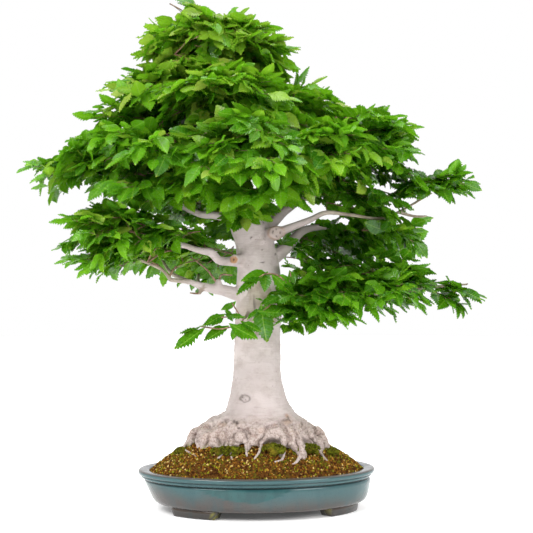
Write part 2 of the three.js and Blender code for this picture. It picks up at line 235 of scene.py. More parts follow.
class Shade:
    """Builds the nodes of one material, or of the world."""

    def __init__(self, name, world=False):
        self.owner = (bpy.data.worlds if world else bpy.data.materials).new(name)
        self.owner.use_nodes = True
        self.tree = self.owner.node_tree
        self.tree.nodes.clear()

    def feed(self, socket, value):
        if isinstance(value, bpy.types.NodeSocket):
            self.tree.links.new(value, socket)
        else:
            socket.default_value = value

    def node(self, kind, inputs=None, **settings):
        made = self.tree.nodes.new("ShaderNode" + kind)
        for key, value in settings.items():
            setattr(made, key, value)
        for key, value in (inputs or {}).items():
            self.feed(made.inputs[key], value)
        return made

    def math(self, operation, *values):
        made = self.node("Math", operation=operation)
        for socket, value in zip(made.inputs, values):
            self.feed(socket, value)
        return made.outputs[0]

    def times(self, *values):
        return self.math("MULTIPLY", *values)

    def between(self, value, low, high, to_low=0.0, to_high=1.0):
        inputs = {"Value": value, "From Min": low, "From Max": high, "To Min": to_low, "To Max": to_high}
        return self.node("MapRange", inputs, interpolation_type="SMOOTHSTEP").outputs[0]

    def mix(self, share, low, high):
        return self.node("Mix", {0: share, 6: low, 7: high}, data_type="RGBA").outputs[2]

    def laid(self, body, share, colour):
        """A body colour with a share of another, as seen on screen, laid over it."""
        return self.mix(share, body, rgb(*colour))

    def tinge(self, body, value, low, high, first, last, colour):
        """A colour laid over a body colour by a share that goes from first to last as a value rises."""
        return self.laid(body, self.between(value, low, high, first, last), colour)

    def two_tone(self, value, low, high, dark, pale):
        """One colour where a value is low, another where it is high."""
        return self.mix(self.between(value, low, high), rgb(*dark), rgb(*pale))

    def ramp(self, share, stops, interpolation="LINEAR"):
        """The colour at a share of the way along stops, each a position and a colour as seen on screen."""
        made = self.node("ValToRGB", {"Fac": share})
        made.color_ramp.interpolation = interpolation
        elements = made.color_ramp.elements
        while len(elements) < len(stops):
            elements.new(0.5)
        for element, (position, colour) in zip(elements, stops):
            element.position, element.color = position, rgb(*colour)
        return made.outputs[0]

    def place(self, scale=(1, 1, 1)):
        """The place in the row frame, in metres, stretched along each axis."""
        spot = self.node("TexCoord").outputs["Object"]
        return self.node("Mapping", {"Vector": spot, "Scale": scale}).outputs[0]

    def noise(self, place, scale, detail=2.0, roughness=0.5):
        inputs = {"Vector": place, "Scale": scale, "Detail": detail, "Roughness": roughness}
        return self.node("TexNoise", inputs).outputs["Fac"]

    def cells(self, place, scale, output="Distance"):
        return self.node("TexVoronoi", {"Vector": place, "Scale": scale}).outputs[output]

    def value(self, name):
        return self.node("Attribute", attribute_name=name).outputs["Fac"]

    def bump(self, height, distance, strength=1.0):
        inputs = {"Height": height, "Distance": distance, "Strength": strength}
        return self.node("Bump", inputs).outputs[0]

    def surface(self, body, roughness, relief, gloss=0.5, coat=0.0):
        inputs = {"Base Color": body, "Roughness": roughness, "Normal": relief}
        inputs.update({"Specular IOR Level": gloss, "Coat Weight": coat})
        return self.node("BsdfPrincipled", inputs).outputs[0]

    def matt_surface(self, body, relief):
        """A rough surface with hardly any gloss."""
        return self.surface(body, 0.95, relief, 0.12)

    def finish(self, shader, output="OutputMaterial"):
        self.tree.links.new(shader, self.node(output).inputs["Surface"])
        return self.owner


def rgb(red, green, blue):
    """A colour as seen on screen, 0 to 255, as the linear colour that nodes take."""
    shares = np.array([red, green, blue]) / 255
    linear = np.where(shares <= 0.04045, shares / 12.92, ((shares + 0.055) / 1.055) ** 2.4)
    return (*linear.tolist(), 1.0)


# Colours as seen on screen, each after its place from 0 to 1, and the tiles along each side of a flat map.
# The greens run from dark to yellow, and the darker ones also serve as painted shade on leaves low down, at
# the right, behind and in front of the trunk.
LEAF_GREENS = [
    (0, (54, 112, 17)), (0.3, (86, 150, 24)), (0.6, (118, 182, 32)), (0.8, (148, 190, 52)),
    (1, (172, 196, 76)),
]
GRANULE_COLOURS = [
    (0.0, (58, 30, 8)), (0.2, (102, 60, 18)), (0.42, (146, 96, 30)), (0.64, (196, 148, 56)),
    (0.74, (104, 104, 16)), (0.85, (158, 164, 36)), (0.92, (240, 208, 130)),
]
LEAF_TILES = 4
GRANULE_TILES = 16
# Pairs of side veins on a leaf, and how far they rise from the midrib to the margin.
VEIN_PAIRS = 7
VEIN_RISE = 0.16


def leaf_material():
    """Leaf green with paler veins. A leaf's flat map lies in one tile of a grid, and each tile has a tint."""
    shade = Shade("beech_leaf")
    flat = shade.node("UVMap", uv_map="OFBake").outputs[0]
    split = shade.node("SeparateXYZ", {0: flat})
    tiles = [shade.times(split.outputs[i], LEAF_TILES) for i in (0, 1)]
    local = [shade.math("FRACT", tile) for tile in tiles]
    tile = shade.node("CombineXYZ", {i: shade.math("FLOOR", tiles[i]) for i in (0, 1)}).outputs[0]
    rows = shade.times(shade.math("FLOOR", tiles[1]), LEAF_TILES)
    tint = shade.math("DIVIDE", shade.math("ADD", rows, shade.math("FLOOR", tiles[0])), LEAF_TILES**2 - 1)
    other = shade.node("TexWhiteNoise", {"Vector": tile}, noise_dimensions="2D").outputs["Value"]

    across = shade.math("ABSOLUTE", shade.math("SUBTRACT", local[0], 0.5))
    across = shade.math("DIVIDE", across, 0.46)
    along = local[1]
    grain = shade.noise(shade.node("CombineXYZ", {0: local[0], 1: local[1], 2: tint}).outputs[0], 9.0, 3.0)
    wobble = shade.between(grain, 0.2, 0.8, -0.012, 0.012)
    rank = shade.math("SUBTRACT", shade.math("ADD", along, wobble), shade.times(across, VEIN_RISE))
    phase = shade.math("FRACT", shade.math("ADD", shade.times(rank, VEIN_PAIRS), 0.5))
    from_vein = shade.math("ABSOLUTE", shade.math("SUBTRACT", phase, 0.5))
    side_vein = shade.between(from_vein, 0.02, 0.13, 1.0, 0.0)
    midrib = shade.between(across, 0.015, 0.07, 1.0, 0.0)
    margin = shade.between(across, 0.75, 1.0)
    tip = shade.between(along, 0.80, 1.0)

    body = shade.ramp(tint, LEAF_GREENS)
    body = shade.tinge(body, grain, 0.35, 0.75, 0.0, 0.35, (52, 120, 4))
    body = shade.laid(body, shade.times(side_vein, 0.22), (140, 184, 60))
    body = shade.laid(body, shade.times(midrib, 0.42), (170, 200, 90))
    edge = shade.times(shade.math("MAXIMUM", tip, margin), shade.between(other, 0.45, 0.95))
    body = shade.laid(body, shade.times(edge, 0.55), (168, 182, 40))

    lobes = shade.times(shade.between(from_vein, 0.0, 0.5), 0.4)
    fine = shade.math("ADD", shade.times(grain, 0.5), lobes)
    relief = shade.bump(fine, 0.0009, 0.5)
    face = shade.surface(body, shade.between(grain, 0.3, 0.8, 0.22, 0.36), relief, 0.6)
    glow = shade.laid(body, 0.45, (120, 190, 10))
    through = shade.node("BsdfTranslucent", {"Color": glow, "Normal": relief}).outputs[0]
    shader = shade.node("MixShader", {0: 0.38, 1: face, 2: through}).outputs[0]
    return shade.finish(shader)


def twig_material():
    shade = Shade("beech_twig")
    spot = shade.place()
    grain = shade.noise(spot, 220.0, 3.0)
    rings = shade.noise(shade.place((1, 1, 6)), 90.0, 2.0)
    body = shade.two_tone(grain, 0.3, 0.7, (92, 66, 50), (150, 118, 92))
    body = shade.tinge(body, rings, 0.55, 0.8, 0.0, 0.5, (176, 152, 130))
    relief = shade.bump(grain, 0.0004)
    return shade.finish(shade.surface(body, 0.6, relief))


def bark_material():
    """Old beech bark: pale pinkish grey, finely wrinkled across, darker in pits and on thin branches.
    The dark of the pits also paints shade into the folds, hollows and creases of the roots.
    """
    shade = Shade("beech_bark")
    spot = shade.place()
    patches = shade.noise(spot, 9.0, 3.0)
    mottle = shade.noise(spot, 55.0, 4.0, 0.6)
    wrinkles = shade.noise(shade.place((1, 1, 7)), 40.0, 4.0, 0.6)
    specks = shade.cells(spot, 190.0)
    speck_chance = shade.noise(spot, 26.0, 2.0)

    body = shade.two_tone(patches, 0.35, 0.65, (176, 163, 161), (198, 186, 184))
    body = shade.tinge(body, mottle, 0.42, 0.7, 0.0, 0.55, (168, 154, 150))
    body = shade.tinge(body, wrinkles, 0.56, 0.72, 0.0, 0.45, (156, 140, 133))
    dots = shade.between(specks, 0.10, 0.26, 1.0, 0.0)
    dots = shade.times(dots, shade.between(speck_chance, 0.55, 0.66))
    body = shade.laid(body, shade.times(dots, 0.55), (112, 92, 80))
    young = shade.value("young")
    green_grey = shade.two_tone(mottle, 0.35, 0.65, (122, 108, 88), (168, 156, 138))
    body = shade.mix(young, body, green_grey)
    body = shade.laid(body, shade.value("stain"), (166, 118, 72))
    grit = shade.noise(spot, 300.0, 4.0, 0.6)
    root_grey = shade.two_tone(grit, 0.34, 0.58, (128, 108, 97), (184, 167, 160))
    body = shade.mix(shade.value("root"), body, root_grey)
    body = shade.mix(shade.value("moss"), body, shade.mix(mottle, rgb(66, 76, 16), rgb(124, 128, 40)))
    # Dark brown in pits and holes, and painted shade in folds, hollows and creases.
    body = shade.laid(body, shade.value("pit"), (52, 38, 30))

    height = shade.math("ADD", shade.times(wrinkles, 0.7), shade.times(mottle, 0.5))
    relief = shade.bump(height, 0.0022, 0.8)
    rough = shade.between(mottle, 0.3, 0.7, 0.62, 0.82)
    return shade.finish(shade.surface(body, rough, relief))


def glaze_material():
    """Teal glaze that turns mauve grey low on the wall and breaks brown at the edges. A darker band below
    the groove is a painted reflection, and the groove and seam hold painted shade.
    """
    shade = Shade("pot_glaze")
    spot = shade.place()
    height = shade.node("SeparateXYZ", {0: spot}).outputs[2]
    drift = shade.noise(spot, 7.0, 3.0)
    streaks = shade.noise(shade.place((1, 1, 0.35)), 60.0, 3.0)
    specks = shade.cells(spot, 430.0)
    pinholes = shade.cells(spot, 120.0)
    pinhole_chance = shade.noise(spot, 18.0, 1.0)

    wavy = shade.math("ADD", height, shade.between(drift, 0.3, 0.7, -0.010, 0.010))
    body = shade.two_tone(wavy, 0.018, 0.052, (76, 70, 67), (56, 88, 91))
    body = shade.tinge(body, streaks, 0.4, 0.75, 0.0, 0.4, (46, 76, 82))
    pool = shade.two_tone(streaks, 0.35, 0.7, (28, 70, 72), (38, 84, 84))
    # A darker teal band painted in for a dark reflection on the wall below the groove.
    body = shade.mix(shade.times(shade.value("pool"), 0.8), body, pool)
    body = shade.tinge(body, specks, 0.05, 0.26, 0.65, 0.0, (20, 38, 40))
    holes = shade.between(pinholes, 0.03, 0.09, 1.0, 0.0)
    holes = shade.times(holes, shade.between(pinhole_chance, 0.6, 0.7))
    body = shade.tinge(body, height, 0.011, 0.015, 0.6, 0.0, (38, 34, 30))
    body = shade.laid(body, shade.value("flat"), (94, 98, 103))
    body = shade.laid(body, shade.value("edge"), (78, 52, 30))
    # Painted shade in the groove under the rim and along the seam.
    body = shade.laid(body, shade.value("groove"), (16, 20, 20))
    body = shade.laid(body, shade.value("bare"), (120, 116, 40))
    body = shade.laid(body, shade.times(holes, 0.8), (24, 20, 16))
    relief = shade.bump(shade.math("ADD", drift, shade.times(streaks, 0.3)), 0.0012, 0.35)
    rough = shade.between(streaks, 0.35, 0.7, 0.14, 0.26)
    return shade.finish(shade.surface(body, rough, relief, 0.35, 0.2))


def soil_material():
    """Ground between the granules."""
    shade = Shade("soil_ground")
    spot = shade.place()
    lumps = shade.cells(spot, 330.0)
    patches = shade.noise(spot, 45.0, 3.0)
    body = shade.two_tone(lumps, 0.1, 0.6, (46, 26, 9), (98, 62, 24))
    body = shade.tinge(body, patches, 0.5, 0.7, 0.0, 0.6, (96, 92, 24))
    relief = shade.bump(lumps, 0.002)
    return shade.finish(shade.matt_surface(body, relief))


def granule_material():
    """Soil granules in browns, tans and mossy greens, told apart by the tile that each one's map lies in."""
    shade = Shade("soil_granule")
    flat = shade.node("UVMap", uv_map="OFBake").outputs[0]
    tile = shade.node("VectorMath", {0: flat, 1: (GRANULE_TILES,) * 3}, operation="MULTIPLY").outputs[0]
    tile = shade.node("VectorMath", {0: tile}, operation="FLOOR").outputs[0]
    chance = shade.node("TexWhiteNoise", {"Vector": tile}, noise_dimensions="2D").outputs["Value"]
    grain = shade.noise(shade.place(), 700.0, 2.0)
    body = shade.ramp(chance, GRANULE_COLOURS, "CONSTANT")
    body = shade.tinge(body, grain, 0.3, 0.7, 0.0, 0.5, (78, 48, 18))
    return shade.finish(shade.matt_surface(body, shade.bump(grain, 0.0006)))


def moss_material():
    shade = Shade("moss")
    spot = shade.place()
    tufts = shade.noise(spot, 240.0, 3.0)
    patches = shade.noise(spot, 50.0, 2.0)
    bits = shade.cells(spot, 420.0, "Color")
    body = shade.two_tone(tufts, 0.3, 0.7, (30, 38, 3), (112, 124, 18))
    body = shade.tinge(body, patches, 0.5, 0.7, 0.0, 0.7, (126, 112, 28))
    brown = shade.times(shade.node("SeparateXYZ", {0: bits}).outputs[0], 0.5)
    body = shade.laid(body, brown, (88, 60, 24))
    return shade.finish(shade.matt_surface(body, shade.bump(tufts, 0.002)))


def net_material():
    shade = Shade("screen_net")
    grain = shade.noise(shade.place(), 400.0, 2.0)
    body = shade.two_tone(grain, 0.3, 0.7, (34, 34, 34), (52, 50, 48))
    relief = shade.bump(grain, 0.0004)
    return shade.finish(shade.surface(body, 0.6, relief))


# Wood.

# Height, centre x, centre y, radius and front-to-back share of the trunk, from the roots up.
TRUNK_RINGS = [
    (62, 2, 0, 92, 0.72), (86, 2, 0, 96, 0.72), (104, 2, 0, 101, 0.74), (116, 2, 0, 106, 0.76),
    (128, 2, 0, 104, 0.78), (139, 1, 0, 95, 0.81), (150, 0, 0, 82, 0.86), (160, 3, 0, 65, 0.94),
    (171, 4, 0, 56.5, 0.98), (181, 2, 0, 52, 1), (202, 1, 0, 46, 1), (233, 0, 0, 41, 1),
    (300, 1, 0, 39.5, 1), (377, 4, 0, 39.5, 1), (440, -1, 0, 34, 1), (485, -14, 0, 33, 1),
    (520, -20, 2, 25, 1), (560, -36, 6, 20, 1), (640, -62, 12, 14, 1), (720, -74, 10, 9.5, 1),
    (800, -78, 4, 6, 1), (838, -78, 0, 3.5, 1),
]

# Surface roots: where each meets the soil, how thick it is there and how high it rises on the flare.
ROOT_FEET = [
    (44, -80, 7, 146), (72, -74, 9, 152), (98, -50, 8, 146), (116, -6, 8, 144), (30, -66, 8, 150),
    (108, -34, 7, 136), (-112, -22, 10, 146), (-99, -40, 8, 138), (-86, -54, 10, 146), (-70, -66, 9, 140),
    (-54, -73, 7, 148), (-34, -77, 8, 138), (-15, -79, 7, 144), (4, -79, 6, 134), (38, 76, 9, 146),
    (-28, 78, 8, 142), (4, 79, 7, 138), (-62, 70, 9, 146), (-88, 54, 8, 138), (-110, 28, 10, 146),
    (-116, 4, 8, 140), (110, 24, 8, 146), (101, 44, 9, 140), (74, 64, 8, 148),
]

# Fine roots that creep over the soil: x, y, lift over the soil and radius along each.
ROOTLETS = [
    [(-118, -20, 10, 2.6), (-124, -34, 3, 2.2), (-112, -56, 0, 1.7), (-101, -72, -1, 1.3)],
    [(-50, -78, 8, 2.4), (-56, -87, 3, 2), (-64, -93, 0, 1.5)],
    [(-44, -80, 7, 2.2), (-42, -90, 2, 1.9), (-41, -97, 0, 1.4)],
    [(-18, -82, 9, 2.6), (-17, -90, 3, 2.2), (-16, -95, 0, 1.8)],
    [(8, -82, 8, 2.6), (4, -90, 3, 2.2), (-4, -98, 0, 1.6)],
    [(46, -84, 6, 2.6), (42, -94, 1, 2.2), (30, -101, 0, 1.5)],
    [(73, -82, 6, 3), (66, -92, 1, 2.4), (58, -97, -1, 1.6)],
    [(104, -50, 6, 2.4), (112, -56, 1, 2), (118, -60, 0, 1.5)],
]

# Gaps under the arches of the front roots: x, height, half width and half height.
ARCHES = [
    (26, 114, 17, 13), (68, 118, 5, 13), (95, 117, 8, 11), (-46, 108, 7, 8), (-5, 109, 7, 8),
    (-24, 112, 5, 6), (-74, 107, 6, 8),
]

# Creases between the front roots, each a line of (x, height).
CREASES = [
    [(50, 162), (55, 154), (64, 142), (69, 130), (71, 116)],
    [(15, 145), (29, 149), (42, 154), (54, 156)],
    [(15, 145), (12, 132), (3, 122), (2, 109)],
    [(-29, 144), (-38, 132), (-41, 122)],
    [(-29, 144), (-18, 139), (-16, 127)],
    [(-16, 142), (-11, 135), (-1, 132)],
    [(-48, 154), (-64, 149), (-78, 142), (-91, 141)],
    [(-88, 152), (-98, 142), (-106, 127)],
    [(-64, 130), (-61, 117)],
    [(-81, 127), (-85, 114)],
    [(89, 149), (99, 138), (105, 127)],
    [(75, 149), (85, 135), (89, 122)],
    [(42, 149), (50, 139), (54, 125)],
    [(-52, 140), (-50, 126), (-54, 116)],
]

# Branches: a route of points, each with its radius.
BRANCHES = [
    # Lowest left branch, under the left side.
    [
        (-14, 0, 362, 12), (-40, -6, 368, 11), (-56, -9, 373, 9.5), (-74, -12, 376, 8.6),
        (-97, -14, 381, 6.6), (-114, -16, 388, 4.8), (-130, -17, 389, 4.0), (-150, -18, 392, 3.8),
    ],
    [(-148, -18, 392, 3.4), (-163, -20, 409, 3.0), (-205, -25, 428, 2.8), (-262, -30, 452, 2.4)],
    [(-66, -14, 376, 8), (-66, -11, 391, 5)],
    [(-92, -14, 379, 3.8), (-99, -14, 367, 3.2)],
    [(-115, -16, 387, 5), (-150, 20, 404, 3.6), (-172, 62, 436, 2.4)],
    [(-92, -12, 379, 5), (-104, 60, 390, 3.4), (-104, 140, 414, 2.3)],
    [(-14, -22, 336, 5), (-18, -56, 330, 3.4), (-22, -96, 328, 2.4)],
    # Middle left branch, which ends in a cut knob.
    [
        (-18, -6, 422, 10), (-50, -16, 423, 7.7), (-64, -20, 424, 7.4), (-73, -22, 433, 7.1),
        (-80, -24, 439, 6.9), (-90, -27, 440, 6.3), (-107, -31, 444, 5.2), (-120, -33, 449, 4.9),
        (-128, -34, 450, 5.6),
    ],
    # Upper left branch.
    [
        (-18, 0, 482, 11), (-44, -1, 496, 8.5), (-74, -2, 502, 7), (-104, -4, 506, 6), (-180, -8, 545, 4),
        (-275, -10, 590, 2.4),
    ],
    [(-130, -5, 518, 4), (-152, -50, 556, 3), (-158, -95, 590, 2)],
    [(-98, -4, 505, 5), (-112, 70, 512, 3.4), (-120, 140, 520, 2.1)],
    # Right branch behind the trunk.
    [
        (8, 6, 410, 14), (30, 16, 430, 12.5), (52, 26, 448, 10.5), (86, 46, 479, 7), (150, 90, 484, 4),
        (200, 125, 480, 2.4),
    ],
    # Grey branch behind the callus.
    [(4, 8, 466, 12), (28, 16, 490, 9.5), (52, 24, 512, 7), (92, 40, 536, 4.5), (160, 40, 552, 2.4)],
    # Right branch from the callus, towards the front.
    [
        (8, -8, 455, 13), (30, -20, 470, 9.5), (46, -26, 476, 7.5), (88, -38, 492, 5.6),
        (118, -44, 505, 4.2), (160, -38, 501, 3.4), (220, -26, 498, 2.9), (300, -8, 540, 2),
    ],
    [(243, -22, 506, 3.2), (268, -12, 500, 2.6), (292, -4, 500, 1.9)],
    # Lowest right branch.
    [
        (8, -6, 368, 11), (26, -16, 362, 9), (45, -24, 358, 7.5), (93, -38, 348, 6), (150, -44, 362, 4.6),
        (245, -36, 374, 3.4), (310, -16, 380, 2.8), (362, -8, 384, 2),
    ],
    [(100, -38, 349, 4.5), (150, 30, 368, 3.2), (195, 95, 384, 2.1)],
    # Upper right branches.
    [
        (-12, -4, 492, 13), (10, -12, 524, 10.5), (40, -22, 556, 8.5), (96, -32, 606, 6),
        (140, -30, 616, 4.5), (215, -18, 602, 2.4),
    ],
    [(-4, 10, 474, 13), (20, 28, 496, 10.5), (44, 50, 520, 8.5), (78, 92, 576, 5.5), (108, 128, 628, 2.4)],
    [(-50, 8, 600, 8), (10, 16, 646, 5), (60, 20, 676, 3.4), (106, 24, 690, 2.1)],
    # Front and crown branches.
    [(-14, -14, 484, 7), (-8, -62, 506, 4), (0, -104, 524, 2.1)],
    [(-26, -8, 530, 9), (-26, -70, 560, 5.5), (-24, -150, 592, 2.4)],
    [(-40, 6, 566, 9), (-110, 50, 592, 5.5), (-165, 110, 608, 2.4)],
    [(-54, 8, 610, 9), (-110, 4, 660, 5.5), (-175, 0, 696, 2.4)],
    [(-60, 4, 636, 7), (-52, -50, 664, 4.4), (-40, -100, 686, 2.1)],
    [(-64, 18, 650, 7), (-44, 70, 674, 4.4), (-30, 120, 694, 2.1)],
    [(-74, 10, 712, 6.5), (-30, 6, 736, 4), (34, 2, 756, 2.1)],
    [(-77, 6, 760, 5.5), (-104, 0, 784, 3.8), (-146, -6, 798, 2.8), (-184, -10, 798, 2.1)],
    # Leaves that hang in front of the lower trunk.
    [(12, -30, 352, 3.8), (34, -62, 360, 2.8), (50, -98, 362, 2.2)],
]

# Thin bare twigs: a route of points, each with its radius.
BARE_TWIGS = [
    [(-150, -18, 393, 2.0), (-147, -18, 401, 1.7), (-138, -18, 415, 1.2)],
    [(-151, -19, 399, 1.9), (-163, -20, 411, 1.6), (-179, -22, 422, 1.1)],
    [(-70, -12, 388, 1.9), (-85, -14, 408, 1.5), (-106, -16, 425, 1.0)],
    [(-64, -12, 392, 1.6), (-60, -12, 400, 1.4), (-42, -16, 399, 1.0)],
    [(-98, -14, 368, 1.7), (-106, -16, 368, 1.5), (-114, -18, 369, 1.0)],
]

# Short thick ends, each a route with its step and sides: a knob at the end of the middle left
# branch, a cut stub and the wood under the callus.
KNOBS = [
    ([(-128, -34, 450, 5), (-134, -35, 451, 6.4), (-139, -35, 451, 5)], 2, 12),
    ([(-22, -16, 425, 10), (-39, -40, 425.5, 8)], 3, 16),
    ([(22, -18, 468, 11), (33, -34, 471, 9.5)], 3, 16),
]

TRUNK_SIDES = 64
LIMB_SIDES = 12
# The size of the cells the wood is grown together in, in metres, and the share of its faces kept.
WOOD_VOXEL = 0.0019
WOOD_KEPT = 0.42

# Marks on the front of the wood: x, height, half width and half height.
EYE = (-20, 191.5, 8.3, 5.6)
CALLUS = (33, 471, 11, 9)
STUB = (-39, 425.5, 7.2, 7.2)
SWIRL = (12, 458, 30, 26)
PITS = [
    (-4, 348, 2.2, 4.6), (-10, 462, 1.6, 1.8), (9, 443, 1.8, 1.4), (9, 421, 1.6, 1.6), (31, 435, 2, 1.4),
    (-38, 154, 3, 2.6), (-33, 152, 2.6, 3), (-30, 144, 2.2, 2.4), (-24, 501, 3.4, 2.4),
    (-15, 497, 3.4, 2.4), (27, 473, 1.5, 3), (33, 465, 3.2, 1.2), (39, 471, 1.2, 2), (32, 478, 2.6, 1.1),
    (10, 488, 3.2, 1.6), (-39, 425.5, 1.8, 2), (-24, 193, 1.4, 2), (-18, 190, 1.4, 1.6),
]
STAINS = [(-58, 148, 9, 3), (52, 152, 8, 4), (-18, 499, 10, 4), (8, 140, 8, 5)]
# Marks reach back to here, and what lies further back counts as far away from them.
FRONT_LIMIT = 5
FAR = 99.0


def trunk_shape():
    """The trunk as a skin over ovals, narrower than the root flare that the roots fill out."""
    angles = round_angles(TRUNK_SIDES)
    rings = []
    for height, x, y, radius, share in smooth_route(TRUNK_RINGS, 5):
        rings.append(oval(angles, radius, radius * share, height) + [x, y, 0])
    return lathe(rings)


def root_routes():
    """A route with radii for each surface root, from the flare down into the soil."""
    rng = np.random.default_rng(3)
    routes = []
    for x, y, radius, top in ROOT_FEET:
        stages = ((0.5, top, 1.1), (0.8, top - 14, 1.45), (0.95, 120, 1.25), (1.0, 106, 1.0), (1.03, 80, 0.9))
        side = np.array([-y, x]) / math.hypot(x, y)
        route = []
        for share, height, girth in stages:
            sway_x, sway_y = side * rng.normal(0, 4)
            height += rng.normal(0, 1.5)
            route.append((x * share + sway_x, y * share + sway_y, height, radius * girth))
        routes.append(route)
    return routes


def rootlet_routes():
    routes = [np.array(knots, float) for knots in ROOTLETS]
    for route in routes:
        route[:, 2] += soil_height(route[:, :3])
    return routes


def limb_shape(knots, step, sides):
    route = smooth_route(knots, step)
    return tube(route[:, :3], route[:, 3], sides)


def nearest_girth(points):
    """The radius of the root, trunk or branch whose axis is nearest to each point."""
    axis = [smooth_route(knots, 6) for knots in root_routes() + BRANCHES]
    axis.append(smooth_route(TRUNK_RINGS, 6)[:, [1, 2, 0, 3]])
    axis = np.vstack(axis)
    tree = kdtree.KDTree(len(axis))
    for i, place in enumerate(axis[:, :3].tolist()):
        tree.insert(place, i)
    tree.balance()
    return np.array([axis[tree.find(place)[1], 3] for place in points.tolist()])


def spot_distance(points, x, z, half_x, half_z):
    """How far points on the front lie from an oval, in units of its size. Points behind count as far."""
    away = np.hypot((points[:, 0] - x) / half_x, (points[:, 2] - z) / half_z)
    return np.where(points[:, 1] < FRONT_LIMIT, away, FAR)


def on_spots(points, spots, full, none):
    """1 on any of the spots and 0 outside them. Full and none are distances in units of their size."""
    away = np.min([spot_distance(points, *spot) for spot in spots], axis=0)
    return 1 - smooth_step(away, full, none)


def crease_distance(points):
    """How far points on the front lie from the nearest crease, in millimetres, with a little wander."""
    flat = points[:, [0, 2]] + 1.6 * np.stack([noise_at(points, 9, 23), noise_at(points, 9, 24)], -1)
    away = np.full(len(points), FAR)
    for line in CREASES:
        for start, end in zip(np.array(line, float), np.array(line[1:], float)):
            span = end - start
            share = np.clip((flat - start) @ span / (span @ span), 0, 1)
            away = np.minimum(away, np.linalg.norm(flat - start - share[:, None] * span, axis=1))
    return np.where(points[:, 1] < FRONT_LIMIT, away, FAR)


def eye_distance(points):
    """Distance from the old scar low on the trunk, in units of its size, with a wavy edge."""
    return spot_distance(points, *EYE) + 0.18 * noise_at(points, 5, 22)


def rough_wood():
    """Roots, trunk and branches grown into one skin."""
    shapes = [trunk_shape()]
    shapes += [limb_shape(knots, 6, LIMB_SIDES) for knots in root_routes()]
    shapes += [limb_shape(knots, 5, LIMB_SIDES) for knots in BRANCHES]
    shapes += [limb_shape(*knob) for knob in KNOBS]
    remesh = {"mode": "VOXEL", "voxel_size": WOOD_VOXEL, "use_smooth_shade": True}
    smooth = {"factor": 0.5, "iterations": 4}
    return with_modifiers(new_mesh("wood_raw", joined(shapes)), ("REMESH", remesh), ("SMOOTH", smooth))


def wood_relief(points):
    """How far each point of the wood is pushed out, for lumps, folds, arches, creases and the marks."""
    height = points[:, 2]
    thick = smooth_step(nearest_girth(points), 3, 12)
    low = 1 - smooth_step(height, 148, 178)
    lumps = noise_at(points, 30) * blend(0.9, 2.4, low)
    knobs = noise_at(points, 12, 1) * blend(0.3, 2.4, low) + noise_at(points, 6, 16) * 1.3 * low
    folds = -2.4 * low * (1 - smooth_step(np.abs(noise_at(points, 19, 8)), 0.0, 0.16))
    stretched = points * [1, 1, 4]
    wrinkles = noise_at(stretched, 16, 2) * 0.45 + noise_at(stretched, 7, 3) * 0.25
    dents = noise_at(points, 10, 21) * -1.8 * low
    push = thick * (lumps + knobs + folds + dents + wrinkles)
    for arch in ARCHES:
        push -= 12 * np.exp(-(spot_distance(points, *arch) ** 4))
    crease = crease_distance(points)
    push -= 5.0 * bell(crease, 2.6)
    push += 1.8 * bell(crease - 7, 3.5) * low
    collar = smooth_step(height, 150, 158) * (1 - smooth_step(height, 176, 190))
    push += 0.4 * collar * np.sin(height / 1.15 + 5 * noise_at(points, 26, 9))
    diagonal = points[:, 0] * 0.6 - height
    push += 0.8 * bell(spot_distance(points, *SWIRL)) * np.sin(diagonal / 2.2 + 2 * noise_at(points, 20, 4))
    eye = eye_distance(points)
    push += np.where(eye < 2, -1.1 * bell(eye - 1, 0.25) + 0.9 * bell(eye), 0)
    callus = spot_distance(points, *CALLUS)
    swelling = 3.0 * bell(callus - 0.95, 0.34) - 2.0 * bell(callus, 0.5)
    knobs = 1.3 * noise_at(points, 4, 27) * bell(callus)
    push += np.where(callus < 2.5, swelling + knobs, 0)
    stub = spot_distance(points, *STUB)
    return push + np.where(stub < 2, 1.2 * bell(stub - 1, 0.25) - 3.0 * bell(stub, 0.5), 0)


def wood_mesh():
    mesh = rough_wood()
    points = points_of(mesh)
    place_points(mesh, points + read_vertices(mesh, "normal") * wood_relief(points)[:, None])
    return with_modifiers(mesh, ("DECIMATE", {"ratio": WOOD_KEPT}))


